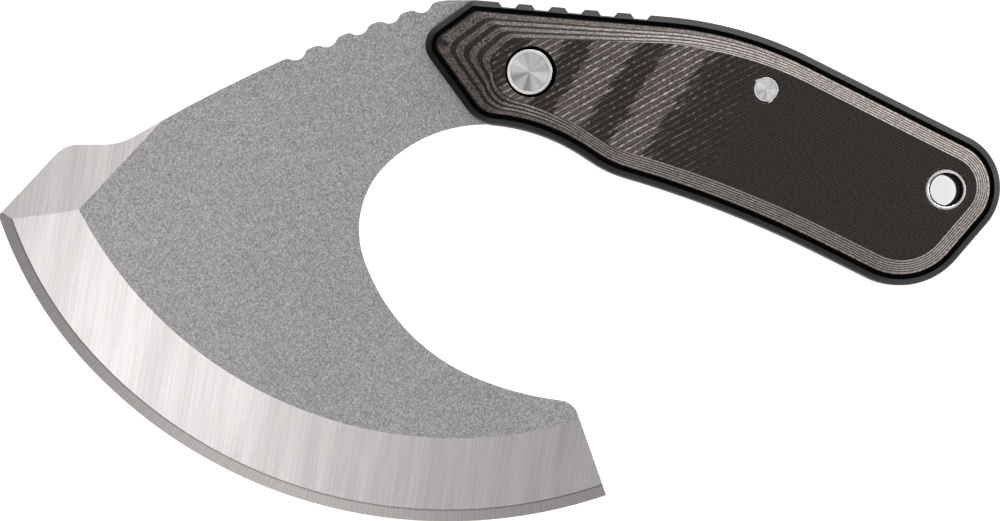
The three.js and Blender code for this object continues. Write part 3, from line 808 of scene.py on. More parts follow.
def wall_tool() -> Tool:
    """A carver that raises a wall from the top loop of a piece, in steps, while it draws inward.

    Returns:
        The tool.
    """
    tool = Tool("carved_wall", {"Steps": "Int", "Rise": "Float", "Draw": "String", "Share": "Float"})
    tree, given = tool.tree, tool.given
    start = add(tree, "GeometryNodeRepeatInput")
    finish = add(tree, "GeometryNodeRepeatOutput")
    start.pair_with_output(finish)
    plug(tree, start, {"Iterations": given["Steps"], "Geometry": given["Geometry"]})

    draw = tool.add("GeometryNodeInputNamedAttribute", {"Name": given["Draw"]}, data_type="FLOAT_VECTOR")
    climb = tool.add("ShaderNodeMath", {0: given["Rise"], 1: given["Steps"]}, operation="DIVIDE")
    reach = tool.add("ShaderNodeMath", {0: given["Share"], 1: given["Steps"]}, operation="DIVIDE")
    inward = tool.add("ShaderNodeVectorMath", {0: draw, "Scale": reach}, operation="SCALE")
    upward = tool.add("ShaderNodeCombineXYZ", {2: climb})
    offset = tool.add("ShaderNodeVectorMath", {0: inward, 1: upward})

    top = tool.add("GeometryNodeInputNamedAttribute", {"Name": "top"}, data_type="BOOLEAN")
    loop = {0: start.outputs["Geometry"], "Selection": top, "Offset Scale": 0.0}
    grown = add(tree, "GeometryNodeExtrudeMesh", loop, mode="EDGES").outputs
    mark = {0: grown["Mesh"], "Name": "top", "Value": grown["Top"]}
    marked = tool.add("GeometryNodeStoreNamedAttribute", mark, data_type="BOOLEAN", domain="EDGE")
    moved = tool.add("GeometryNodeSetPosition", {0: marked, "Selection": top, "Offset": offset})
    plug(tree, finish, {"Geometry": moved})
    tool.end(finish.outputs["Geometry"])
    return tool


# Meshes

# Attributes that only the tools read
WORKING = ("along", "draw", "notch", "top", "sink", "skirt", "front", "crown")


def new_piece(name: str, mesh: bpy.types.Mesh) -> Object:
    """Puts a mesh in the scene as an object at the origin.

    Args:
        name: the object's name.
        mesh: its mesh.

    Returns:
        The object.
    """
    piece = bpy.data.objects.new(name, mesh)
    bpy.context.scene.collection.objects.link(piece)
    return piece


def freeze(piece: Object) -> None:
    """Turns a piece's modifiers into its own plain mesh.

    Args:
        piece: the object.
    """
    graph = bpy.context.evaluated_depsgraph_get()
    mesh = bpy.data.meshes.new_from_object(piece.evaluated_get(graph))
    piece.modifiers.clear()
    piece.data = mesh


def edit(piece: Object, work: Callable[[Shape], None]) -> None:
    """Runs an edit on a piece's mesh.

    Args:
        piece: the object.
        work: the edit.
    """
    shape = bmesh.new()
    shape.from_mesh(piece.data)
    work(shape)
    shape.to_mesh(piece.data)
    shape.free()


def fill_holes(shape: Shape) -> None:
    """Closes each open loop with one flat face."""
    loose = [edge for edge in shape.edges if edge.is_boundary]
    bmesh.ops.holes_fill(shape, edges=loose, sides=0)


def face_outward(shape: Shape) -> None:
    """Turns the faces of a closed mesh outward."""
    bmesh.ops.recalc_face_normals(shape, faces=shape.faces)


def shade(piece: Object, sharpest: float, plain: float = 20.0) -> None:
    """Smooths the shading, apart from sharp edges and the outlines of large flat faces.

    Args:
        piece: the object.
        sharpest: the angle in degrees from which an edge is sharp.
        plain: the area in square millimetres from which a face is taken as a flat of its own.
    """
    def mark(shape: Shape) -> None:
        """Marks each face and edge.

        Args:
            shape: the piece's mesh.
        """
        for face in shape.faces:
            face.smooth = True
        for edge in shape.edges:
            sides = edge.link_faces
            bent = len(sides) != 2 or edge.calc_face_angle(math.pi) > math.radians(sharpest)
            flat = any(face.calc_area() > plain * MM * MM for face in sides)
            unlike = len({face.material_index for face in sides}) > 1
            edge.smooth = not (bent or flat or unlike)
    edit(piece, mark)


def cut(piece: Object, tools: Sequence[Object]) -> None:
    """Cuts tools out of a piece and throws them away.

    Args:
        piece: the object.
        tools: the objects to take away from it.
    """
    for tool in tools:
        modifier = piece.modifiers.new("cut", "BOOLEAN")
        modifier.operation = "DIFFERENCE"
        modifier.solver = "MANIFOLD"
        modifier.object = tool
    freeze(piece)
    for tool in tools:
        bpy.data.objects.remove(tool)


def settle(piece: Object, slot: Slot, *nodes: str) -> None:
    """Hands a finished piece to the frame.

    Args:
        piece: the object.
        slot: the record's material slot; not used.
        nodes: the nodes that it stands for.
    """
    for name in WORKING:
        if name in piece.data.attributes:
            piece.data.attributes.remove(piece.data.attributes[name])
    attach(piece, BODY)
    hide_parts(*nodes)
    LOG.info("%s: %d faces", piece.name, len(piece.data.polygons))


# Outlines


@dataclass(frozen=True)
class Corner:
    """A corner of a plan outline and the radius that rounds it.

    draw is how far the scale's bevel runs in from the edges that arrive at the corner and leave it, where
    it is drawn out, and tight is the least radius that the corner keeps as it is inset.
    """

    x: float
    y: float
    radius: float
    draw: Optional[Pair] = None
    tight: float = 0.5


@dataclass(frozen=True)
class Outline:
    """A counter-clockwise outline of straights and corner arcs, with a set number of points on each."""

    corners: tuple[Corner, ...]
    steps: tuple[int, ...]
    splits: tuple[int, ...]

    @staticmethod
    def of(corners: Sequence[Corner], chord: float, strides: Sequence[float]) -> "Outline":
        """Makes an outline and chooses its points.

        Args:
            corners: the corners in order.
            chord: how far an arc may stand off its chords.
            strides: the longest step along the straight that leaves each corner.

        Returns:
            The outline.
        """
        bare = Outline(tuple(corners), (), ())
        steps, splits = [], []
        for i, corner in enumerate(corners):
            sweep = abs(bare.arc(i)[2])
            widest = 2 * math.acos(1 - chord / max(corner.radius, 2 * chord))
            steps.append(max(2, math.ceil(sweep / widest)))
            after = corners[(i + 1) % len(corners)]
            splits.append(math.ceil(math.hypot(after.x - corner.x, after.y - corner.y) / strides[i]))
        return Outline(tuple(corners), tuple(steps), tuple(splits))

    def edges_at(self, i: int) -> tuple[Vector, Vector]:
        """Finds the ways in which the edges arrive at a corner and leave it.

        Args:
            i: the corner's place.

        Returns:
            The two directions.
        """
        before, here, after = (self.corners[k % len(self.corners)] for k in (i - 1, i, i + 1))
        arriving = Vector((here.x - before.x, here.y - before.y)).normalized()
        leaving = Vector((after.x - here.x, after.y - here.y)).normalized()
        return arriving, leaving

    def arc(self, i: int) -> tuple[Vector, float, float]:
        """Finds the arc that rounds a corner.

        Args:
            i: the corner's place.

        Returns:
            Its centre, first angle and sweep.
        """
        arriving, leaving = self.edges_at(i)
        corner = self.corners[i]
        sweep = math.atan2(arriving.cross(leaving), arriving.dot(leaving))
        start = Vector((corner.x, corner.y)) - arriving * corner.radius * math.tan(abs(sweep) / 2)
        centre = start + Vector((-arriving.y, arriving.x)) * math.copysign(corner.radius, sweep)
        return centre, math.atan2(start.y - centre.y, start.x - centre.x), sweep

    def inset(self, widths: Callable[[Corner], Pair], least: Optional[float] = None) -> "Outline":
        """Moves the edges inward.

        Args:
            widths: gives the distances for the two edges at a corner.
            least: the least radius that a corner keeps, or each corner's own.

        Returns:
            The inset outline, with a point for each point of this one.
        """
        moved = []
        for i, corner in enumerate(self.corners):
            arriving, leaving = self.edges_at(i)
            first, second = widths(corner)
            turn = arriving.cross(leaving)
            shift = (leaving * first - arriving * second) / turn
            radius = corner.radius - math.copysign((first + second) / 2, turn)
            radius = max(radius, corner.tight if least is None else least)
            moved.append(replace(corner, x=corner.x + shift.x, y=corner.y + shift.y, radius=radius))
        return Outline(tuple(moved), self.steps, self.splits)

    def points(self) -> list[Vector]:
        """Walks along the arcs and the straights between them.

        Returns:
            The points, in plan.
        """
        arcs = []
        for i, corner in enumerate(self.corners):
            centre, first, sweep = self.arc(i)
            angles = [first + sweep * k / self.steps[i] for k in range(self.steps[i] + 1)]
            arcs.append([centre + corner.radius * Vector((math.cos(angle), math.sin(angle)))
                         for angle in angles])
        found = []
        for i, arc in enumerate(arcs):
            following = arcs[(i + 1) % len(arcs)][0]
            count = self.splits[i]
            found += arc
            found += [arc[-1].lerp(following, k / count) for k in range(1, count)]
        return found


def loop_piece(name: str, points: Sequence[Vector], height: float) -> Object:
    """Makes a closed loop of edges, as the foot of a carved wall.

    Args:
        name: the object's name.
        points: plan points in millimetres.
        height: their height in millimetres.

    Returns:
        The object, with its edges marked as the top of the wall.
    """
    mesh = bpy.data.meshes.new(name)
    count = len(points)
    spots = [(point.x * MM, point.y * MM, height * MM) for point in points]
    mesh.from_pydata(spots, [(i, (i + 1) % count) for i in range(count)], [])
    top = mesh.attributes.new("top", "BOOLEAN", "EDGE")
    top.data.foreach_set("value", [True] * count)
    return new_piece(name, mesh)


def store_vectors(piece: Object, name: str, start: Sequence[Vector], end: Sequence[Vector]) -> None:
    """Stores at each point of a loop the way from one outline to another.

    Args:
        piece: the loop.
        name: the attribute's name.
        start: points of the first outline, in millimetres.
        end: points of the second.
    """
    data = piece.data.attributes.new(name, "FLOAT_VECTOR", "POINT").data
    for item, first, last in zip(data, start, end):
        item.vector = ((last.x - first.x) * MM, (last.y - first.y) * MM, 0)


# Sub-assemblies


def plan_middle(low: Vector, high: Vector) -> Vector:
    """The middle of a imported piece's box in plan, in millimetres."""
    return Vector((low.x + high.x, low.y + high.y)) / 2 / MM


class Layout:
    """What the pieces share, in millimetres: the drawing's place in the frame and the main heights."""

    RIVET_ON_DRAWING = Vector((5.9, 37.4))
    EDGE_CENTRE_ON_DRAWING = Vector((-10.5, 46.2))

    def __init__(self) -> None:
        """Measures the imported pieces."""
        low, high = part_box("blade")
        self.middle = (low.z + high.z) / 2 / MM
        self.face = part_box("left_scale")[1].z / MM - self.middle
        low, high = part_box("front_rivet_barrel")
        self.shift = plan_middle(low, high) - self.RIVET_ON_DRAWING
        self.edge_centre = self.EDGE_CENTRE_ON_DRAWING + self.shift


class Bore:
    """A fastener's place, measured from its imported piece, and the hole that it sits in.

    FAR is a height past every face, and BRIM is the broken corner's size as a share of the sink.
    """

    FAR = 20.0
    BRIM = 0.3

    def __init__(self, layout: Layout, node: str, shank: float, seat: float, depth: float, sink: float,
                 drift: Pair = (0.0, 0.0)) -> None:
        """Measures the fastener.

        Args:
            layout: the shared layout.
            node: the fastener's node.
            shank: radius of the hole through the knife.
            seat: radius of the wider hole at its mouth.
            depth: how far the seat reaches below the fastener's top.
            sink: how far the top lies below the scale.
            drift: how far the scale's hole stands off the fastener's axis.
        """
        low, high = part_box(node)
        self.layout, self.node = layout, node
        self.shank, self.seat, self.depth, self.sink, self.drift = shank, seat, depth, sink, drift
        self.axis = plan_middle(low, high)
        self.radius = (high.x - low.x) / 2 / MM
        self.top = high.z / MM - layout.middle

    def off_axis(self, face: bpy.types.MeshPolygon) -> float:
        """How far the middle of a face is from the axis."""
        return (face.center.xy / MM - self.axis).length

    def through(self, lathe: Tool) -> Object:
        """Makes a cutter for the plain hole."""
        profile = [(0, -self.FAR), (self.shank, -self.FAR), (self.shank, self.FAR), (0, self.FAR)]
        return turned(lathe, self, f"drill_{self.node}", profile)

    def seated(self, lathe: Tool) -> Object:
        """Makes a cutter for the hole, its seat and the broken corner at its mouth.

        Args:
            lathe: the tool that turns it.

        Returns:
            The cutter.
        """
        floor, mouth = self.top - self.depth, self.top + self.sink
        brim = self.BRIM * self.sink
        wide = self.seat + 2 * brim
        profile = [(0, 0), (self.shank, 0), (self.shank, floor), (self.seat, floor),
                   (self.seat, mouth - brim), (wide, mouth + brim), (wide, self.FAR), (0, self.FAR)]
        return turned(lathe, self, f"counterbore_{self.node}", profile, drift=self.drift)


class Blade:
    """The ground steel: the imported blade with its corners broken, and a finish for each way it was worked.

    Tilts and SHARP are in degrees. The spine is what lies in front of SPINE and above it, or in front of
    FALSE_EDGE. Its walls are cut into strips of EASE_STEP, which are smoothed EASE_ROUNDS times, or
    TIP_ROUNDS times on the false edge. UPRIGHT is how far apart the ends of an upright edge may be in
    plan, in metres.
    """

    CHAMFER = 0.15
    EASE_STEP = 0.12
    EASE_ROUNDS = 34
    TIP_ROUNDS = 400
    SPINE = (-8.0, 20.0)
    FALSE_EDGE = -70.0
    UPRIGHT = 2e-6
    LOOSE_TILT = 0.02
    FLAT_TILT = 1.0
    HONED_TILT = 12.0
    CHAMFER_TILT = 30.0
    WALL_TILT = 80.0
    SHARP = 6.0

    def __init__(self, layout: Layout) -> None:
        """Takes the shared layout."""
        self.layout = layout

    def build(self) -> None:
        """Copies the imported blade, breaks its corners and dresses it."""
        piece = self.merged("ground_blade")
        edit(piece, self.ease_spine)
        edit(piece, self.break_corners)
        centre = self.layout.edge_centre
        finishes = {
            Work.BLASTED: BlastedSteel("blasted_stainless_steel"),
            Work.GROUND: SatinSteel("belt_ground_stainless_steel"),
            Work.HONED: HonedSteel("honed_stainless_steel", (centre.x, centre.y), self.layout.middle),
            Work.BROKEN: BrokenEdge("broken_corner_of_steel"),
        }
        piece.data.materials.clear()
        for work in Work:
            piece.data.materials.append(finishes[work].material())
        edit(piece, self.dress)
        shade(piece, self.SHARP)
        settle(piece, Slot.BLADE, "blade")

    def merged(self, name: str) -> Object:
        """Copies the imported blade, with its loose facets merged into flats.

        Args:
            name: the copy's name.

        Returns:
            The copy.
        """
        def merge(shape: Shape) -> None:
            """Welds the facets and dissolves what lies flat."""
            bmesh.ops.remove_doubles(shape, verts=shape.verts, dist=WELD)
            bmesh.ops.dissolve_limit(shape, angle_limit=math.radians(self.LOOSE_TILT), verts=shape.verts,
                                     edges=shape.edges)
        piece = new_piece(name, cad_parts["blade"].data.copy())
        edit(piece, merge)
        return piece

    def tilt(self, face: Face) -> float:
        """Angle of a face from level."""
        return math.degrees(math.acos(min(1.0, abs(face.normal.z))))

    def is_wall(self, face: Face) -> bool:
        """Whether a face stands on edge."""
        return self.tilt(face) > self.WALL_TILT

    def is_upright(self, edge: Edge) -> bool:
        """Whether an edge's ends lie over each other."""
        return (edge.verts[0].co - edge.verts[1].co).xy.length < self.UPRIGHT

    def on_spine(self, vert: Vert) -> bool:
        """Whether a vertex is on the spine or the false edge."""
        x, y = vert.co.xy / MM - self.layout.shift
        return x < self.FALSE_EDGE or (x < self.SPINE[0] and y > self.SPINE[1])

    def head(self, vert: Vert) -> Vert:
        """Follows a wall's upright edges to their upper end.

        Args:
            vert: a vertex on the wall.

        Returns:
            The vertex at the top.
        """
        for edge in vert.link_edges:
            far = edge.other_vert(vert)
            if far.co.z > vert.co.z and self.is_upright(edge):
                return self.head(far)
        return vert

    def split_walls(self, shape: Shape) -> None:
        """Makes whole strips of the spine's walls and cuts them into narrow ones.

        Args:
            shape: the blade.
        """
        slanted = [edge for edge in shape.edges if not self.is_upright(edge)
                   and len(edge.link_faces) == 2 and all(map(self.is_wall, edge.link_faces))]
        bmesh.ops.dissolve_edges(shape, edges=slanted)
        walls = [face for face in shape.faces if self.is_wall(face) and all(map(self.on_spine, face.verts))]
        for face in walls:
            long = [edge for edge in face.edges if not self.is_upright(edge)]
            longest = max((edge.calc_length() for edge in long), default=0)
            cuts = round(longest / (self.EASE_STEP * MM)) - 1
            if len(long) == 2 and cuts > 0:
                bmesh.ops.subdivide_edges(shape, edges=long, cuts=cuts, use_grid_fill=True)
        shape.normal_update()

    def ease_spine(self, shape: Shape) -> None:
        """Rounds the corners of the spine's scallops and of the false edge, as a belt leaves them.

        A wall's vertices move together in columns, and those at its ends stay in the planes of the faces
        that they close.

        Args:
            shape: the blade.
        """
        self.split_walls(shape)
        columns, normals, planes = {}, {}, {}
        for face in shape.faces:
            wall = self.is_wall(face)
            for vert in filter(self.on_spine, face.verts):
                if wall:
                    top = self.head(vert)
                    columns.setdefault(top, set()).add(vert)
                    normals[top] = normals.get(top, Vector((0, 0, 0))) + face.normal
                else:
                    planes[vert] = (face.normal.copy(), vert.co.copy())
        for verts, spot in zip(columns.values(), self.eased(columns, normals)):
            for vert in verts:
                vert.co.xy = spot
                if vert in planes:
                    normal, point = planes[vert]
                    vert.co.z = point.z - normal.xy.dot((vert.co - point).xy) / normal.z
        shape.normal_update()

    def eased(self, columns: dict[Vert, set[Vert]], normals: dict[Vert, Vector]) -> np.ndarray:
        """Draws a wall's columns toward the middle of their neighbours, and never outward.

        Args:
            columns: the vertices of each column, by the one at its top.
            normals: the way out of the wall at each column.

        Returns:
            The columns' new places in plan.
        """
        places = {top: i for i, top in enumerate(columns)}
        rows = []
        for top, verts in columns.items():
            near = {self.head(edge.other_vert(vert)) for vert in verts for edge in vert.link_edges
                    if any(map(self.is_wall, edge.link_faces))}
            beside = [places[other] for other in near if other != top and other in places]
            if len(beside) == 2:
                rows.append((places[top], *beside))
        own, before, after = np.array(rows).T
        spots = np.array([top.co.xy for top in columns])
        outward = np.array([normals[top].xy for top in columns])[own]
        tip = (self.FALSE_EDGE + self.layout.shift.x) * MM
        rounds = np.where(spots[own, 0] < tip, self.TIP_ROUNDS, self.EASE_ROUNDS)
        for done in range(self.TIP_ROUNDS):
            pull = (spots[before] + spots[after]) / 4 - spots[own] / 2
            inward = ((pull * outward).sum(axis=1) < 0) & (done < rounds)
            spots[own[inward]] += pull[inward]
        return spots

    def break_corners(self, shape: Shape) -> None:
        """Chamfers the corners between flats and walls.

        Args:
            shape: the blade.
        """
        corners = []
        for edge in shape.edges:
            tilts = sorted(self.tilt(face) for face in edge.link_faces)
            if len(tilts) == 2 and tilts[0] < self.FLAT_TILT and tilts[1] > self.WALL_TILT:
                corners.append(edge)
        bmesh.ops.bevel(shape, geom=corners, offset=self.CHAMFER * MM, offset_type="OFFSET", segments=1,
                        affect="EDGES", clamp_overlap=True)

    def dress(self, shape: Shape) -> None:
        """Picks each face's finish by how it lies.

        Args:
            shape: the blade.
        """
        for face in shape.faces:
            tilt = self.tilt(face)
            if tilt < self.FLAT_TILT or tilt > self.WALL_TILT:
                face.material_index = Work.BLASTED
            elif tilt > self.CHAMFER_TILT:
                face.material_index = Work.BROKEN
            elif tilt > self.HONED_TILT:
                face.material_index = Work.HONED
            else:
                face.material_index = Work.GROUND


@dataclass
class Grip:
    """The rubber grip and the pair of scales let into it, all drawn from one outline.

    The steps of shoulder are each a share of the rim's width and a rise. shade_band is how far above the
    floor of the pocket the rubber's sheen is still turned down, as painted shade.
    """

    layout: Layout
    bores: Sequence[Bore]
    walls: Tool
    notches: Tool
    lathe: Tool
    chord: float = 0.005
    stride: float = 6.0
    notch_stride: float = 0.2
    rim_width: float = 1.2
    rim_radius: float = 0.8
    rim_height: float = 6.4
    shoulder: tuple[Pair, ...] = ((0.04, 0.3), (0.08, 0.3), (0.14, 0.25), (0.74, 0.65))
    groove_width: float = 1.0
    groove_depth: float = 2.6
    pocket_height: float = 3.3
    shade_band: float = 1.0
    notch_count: int = 5
    notch_lead: float = 7.5
    notch_pitch: float = 6.6
    notch_mouth: float = 4.0
    notch_floor: float = 2.6
    notch_depth: float = 0.9
    scale_radius: float = 2.5
    crown_height: float = 3.0
    crown_width: float = 2.8
    front_height: float = 2.1
    skirt_height: float = 0.3
    skirt_share: float = 0.22
    ply: float = 0.27
    ramp_angle: float = 2.4
    ramp_length: float = 28.0
    ramp_run: float = 22.7
    ramp_blend: float = 3.0
    ramp_lean: float = 57.0
    rubber_sharp: float = 35.0
    scale_sharp: float = 12.0

    corners = (
        Corner(-16.7, 43.9, 4.6, (10.1, 8.0), 3.0),
        Corner(-4.6, 27.3, 7.6, (4.0, 4.0), 6.0),
        Corner(8.5, 25.9, 38.6),
        Corner(21.5, 17.4, 23.8),
        Corner(45.2, 10.4, 232),
        Corner(83.4, -8.6, 14.6),
        Corner(106.3, 18, 11.1),
        Corner(48.4, 47.2, 78),
        Corner(-5.7, 51.9, 2, (5.1, 9.3), 4.0),
    )
    UPPER_FRONT = 8
    HUMP = 7
    OFF_THE_TOP = -1.0
    WELD_HALVES = 1e-6

    def __post_init__(self) -> None:
        """Lays the outline in the frame."""
        shift = self.layout.shift
        placed = [replace(corner, x=corner.x + shift.x, y=corner.y + shift.y) for corner in self.corners]
        strides = [self.notch_stride if i == self.HUMP else self.stride for i in range(len(placed))]
        inset = self.rim_width + self.groove_width
        self.outline = Outline.of(placed, self.chord, strides)
        self.scale_outline = self.outline.inset(lambda corner: (inset, inset), self.scale_radius)

    @property
    def fall(self) -> Vector:
        """The way in which the ramp falls, in plan."""
        lean = math.radians(self.ramp_lean)
        return Vector((-math.sin(lean), math.cos(lean)))

    @property
    def crease(self) -> Vector:
        """A point on the crease where the ramp begins."""
        return self.bores[0].axis - self.fall * self.ramp_length

    def raise_wall(self, piece: Object, material: Material, steps: int, rise: float, draw: str = "",
                   share: float = 1.0) -> None:
        """Adds one stage of a carved wall.

        Args:
            piece: the piece that the wall grows on.
            material: what it is made of.
            steps: how many steps it takes.
            rise: how far it rises.
            draw: the attribute that says how far it draws inward.
            share: how much of that it draws.
        """
        self.walls.use(piece, {"Steps": steps, "Rise": rise * MM, "Draw": draw, "Share": share,
                               "Material": material})

    def rubber(self, tang: Object) -> None:
        """Builds the moulded grip.

        Args:
            tang: a copy of the steel that is moulded in, to cut with.
        """
        outer = self.outline.points()
        rim = self.outline.inset(lambda corner: (self.rim_width,) * 2, self.rim_radius).points()
        piece = loop_piece("rubber_grip", outer, self.layout.middle)
        # Below this height the rubber's sheen is turned down, as painted shade in the groove
        dark = self.pocket_height + self.shade_band
        material = MouldedRubber("moulded_thermoplastic_rubber", self.layout.middle, dark).material()
        store_vectors(piece, "draw", outer, rim)
        store_vectors(piece, "sink", rim, self.scale_outline.points())
        self.measure_along(piece, outer)
        self.notches.use(piece, {
            "Count": self.notch_count, "Lead": self.notch_lead * MM, "Pitch": self.notch_pitch * MM,
            "Mouth": self.notch_mouth * MM, "Floor": self.notch_floor * MM, "Depth": self.notch_depth * MM,
            "Rim": self.rim_width * MM, "Material": material,
        })
        groove_floor = self.rim_height - self.groove_depth
        self.raise_wall(piece, material, 2, self.rim_height - sum(rise for _, rise in self.shoulder))
        for share, rise in self.shoulder:
            self.raise_wall(piece, material, 1, rise, "draw", share)
        self.raise_wall(piece, material, 1, -self.groove_depth)
        self.raise_wall(piece, material, 1, 0.0, "sink")
        self.raise_wall(piece, material, 1, self.pocket_height - groove_floor)
        freeze(piece)
        edit(piece, self.close_both_faces)
        cut(piece, [tang, *(bore.through(self.lathe) for bore in self.bores)])
        shade(piece, self.rubber_sharp)
        settle(piece, Slot.GRIP, "grip_overmould")

    def measure_along(self, piece: Object, points: Sequence[Vector]) -> None:
        """Stores how far along the straight top of the grip each point lies, or a place off its end.

        Args:
            piece: the loop.
            points: its points, in plan.
        """
        front, hump = (self.outline.corners[i] for i in (self.UPPER_FRONT, self.HUMP))
        start = Vector((front.x, front.y))
        along = (Vector((hump.x, hump.y)) - start).normalized()
        data = piece.data.attributes.new("along", "FLOAT", "POINT").data
        for item, point in zip(data, points):
            way = point - start
            on_top = abs(along.cross(way)) < self.chord
            item.value = way.dot(along) * MM if on_top else self.OFF_THE_TOP

    def mirror(self, verts: Sequence[Vert]) -> None:
        """Mirrors vertices in the blade's middle plane."""
        for vert in verts:
            vert.co.z = 2 * self.layout.middle * MM - vert.co.z

    def close_both_faces(self, shape: Shape) -> None:
        """Mirrors the upper half in the middle plane and closes both pockets.

        Args:
            shape: the upper half.
        """
        half = shape.verts[:] + shape.edges[:] + shape.faces[:]
        copy = bmesh.ops.duplicate(shape, geom=half)["geom"]
        self.mirror([item for item in copy if isinstance(item, Vert)])
        bmesh.ops.remove_doubles(shape, verts=shape.verts, dist=self.WELD_HALVES)
        fill_holes(shape)
        face_outward(shape)

    def scale(self, side: Side) -> None:
        """Builds a carved scale.

        Args:
            side: the face of the knife that it is on.
        """
        def crown_draw(corner: Corner) -> Pair:
            """How far the crown's edge runs in from the two edges at a corner."""
            first, second = corner.draw or (0, 0)
            return max(first, self.crown_width), max(second, self.crown_width)
        even = self.crown_width * self.front_height / self.crown_height
        outer = self.scale_outline.points()
        front = self.scale_outline.inset(lambda corner: corner.draw or (even, even)).points()
        crown = self.scale_outline.inset(crown_draw).points()
        skirt = [foot.lerp(edge, self.skirt_share) for foot, edge in zip(outer, front)]
        hand = side.name.lower()
        piece = loop_piece(f"laminate_scale_{hand}", outer, self.layout.middle + self.pocket_height)
        store_vectors(piece, "skirt", outer, skirt)
        store_vectors(piece, "front", skirt, front)
        store_vectors(piece, "crown", front, crown)
        material = GlassLaminate(f"glass_epoxy_laminate_{hand}", self.layout.middle, self.layout.face,
                                 tuple(self.crease), tuple(self.fall)).material()
        foot = self.layout.face - self.crown_height
        drawn = self.front_height - self.skirt_height
        rest = self.crown_height - self.front_height
        self.raise_wall(piece, material, 2, foot - self.pocket_height)
        self.raise_wall(piece, material, 1, self.skirt_height, "skirt")
        self.raise_wall(piece, material, round(drawn / self.ply), drawn, "front")
        self.raise_wall(piece, material, round(rest / self.ply), rest, "crown")
        freeze(piece)
        edit(piece, self.close)
        cut(piece, [self.scoop(), *(bore.seated(self.lathe) for bore in self.bores)])
        if side is Side.RIGHT:
            edit(piece, self.turn_over)
        shade(piece, self.scale_sharp)
        settle(piece, Slot.SCALE, f"{hand}_scale")

    def close(self, shape: Shape) -> None:
        """Closes the top and the bottom of a carved piece."""
        fill_holes(shape)
        face_outward(shape)

    def turn_over(self, shape: Shape) -> None:
        """Mirrors a scale to the other face."""
        self.mirror(shape.verts)
        face_outward(shape)

    def ramp_depth(self, ahead: float) -> float:
        """Depth of the ramp below the face: a slope that runs out level in a gentle hollow.

        Args:
            ahead: the distance in front of the crease.

        Returns:
            The depth.
        """
        slope = math.tan(math.radians(self.ramp_angle))
        start, end = self.ramp_run - self.ramp_blend, self.ramp_run + self.ramp_blend
        over = min(max(ahead - start, 0.0), end - start)
        return slope * (min(ahead, start) + over - over * over / (2 * (end - start)))

    def scoop(self, reach: float = 80.0, stations: int = 24) -> Object:
        """Makes the cutter that takes the ramp and the level front off a scale.

        Args:
            reach: how far the cutter goes forward, and to both sides.
            stations: how many steps its curve has.

        Returns:
            The cutter.
        """
        start, end = self.ramp_run - self.ramp_blend, self.ramp_run + self.ramp_blend
        ahead = [0.0, *(start + (end - start) * k / stations for k in range(stations + 1)), reach]
        level = self.layout.middle + self.layout.face
        profile = [(far, level - self.ramp_depth(far)) for far in ahead]
        profile += [(reach, level + reach), (0.0, level + reach)]
        across = Vector((self.fall.y, -self.fall.x))
        points = []
        for side in (-reach, reach):
            for far, height in profile:
                spot = self.crease + self.fall * far + across * side
                points.append((spot.x * MM, spot.y * MM, height * MM))
        count = len(profile)
        faces = [tuple(range(count)), tuple(range(count, 2 * count))]
        faces += [(k, (k + 1) % count, count + (k + 1) % count, count + k) for k in range(count)]
        mesh = bpy.data.meshes.new("ramp_scoop")
        mesh.from_pydata(points, [], faces)
        piece = new_piece("ramp_scoop", mesh)
        edit(piece, face_outward)
        return piece


def turned(lathe: Tool, bore: Bore, name: str, profile: Sequence[Pair],
           material: Optional[Material] = None, closed: bool = False,
           drift: Pair = (0.0, 0.0)) -> Object:
    """Turns a piece on the lathe.

    Args:
        lathe: the tool.
        bore: the place of its axis.
        name: the object's name.
        profile: radius and height above the middle plane, in millimetres.
        material: what it is made of.
        closed: whether the profile runs back to its first point.
        drift: how far the piece stands off the axis.

    Returns:
        The piece as a plain mesh.
    """
    circle = 1.0
    mesh = bpy.data.meshes.new(name)
    middle = bore.layout.middle
    points = [((radius - circle) * MM, -(height + middle) * MM, 0) for radius, height in profile]
    edges = [(i, i + 1) for i in range(len(points) - 1)]
    if closed:
        edges.append((len(points) - 1, 0))
    mesh.from_pydata(points, edges, [])
    piece = new_piece(name, mesh)
    axis = ((bore.axis.x + drift[0]) * MM, (bore.axis.y + drift[1]) * MM, 0)
    lathe.use(piece, {"Sides": SIDES, "Circle": circle * MM, "Axis": axis, "Material": material})
    freeze(piece)
    edit(piece, face_outward)
    return piece


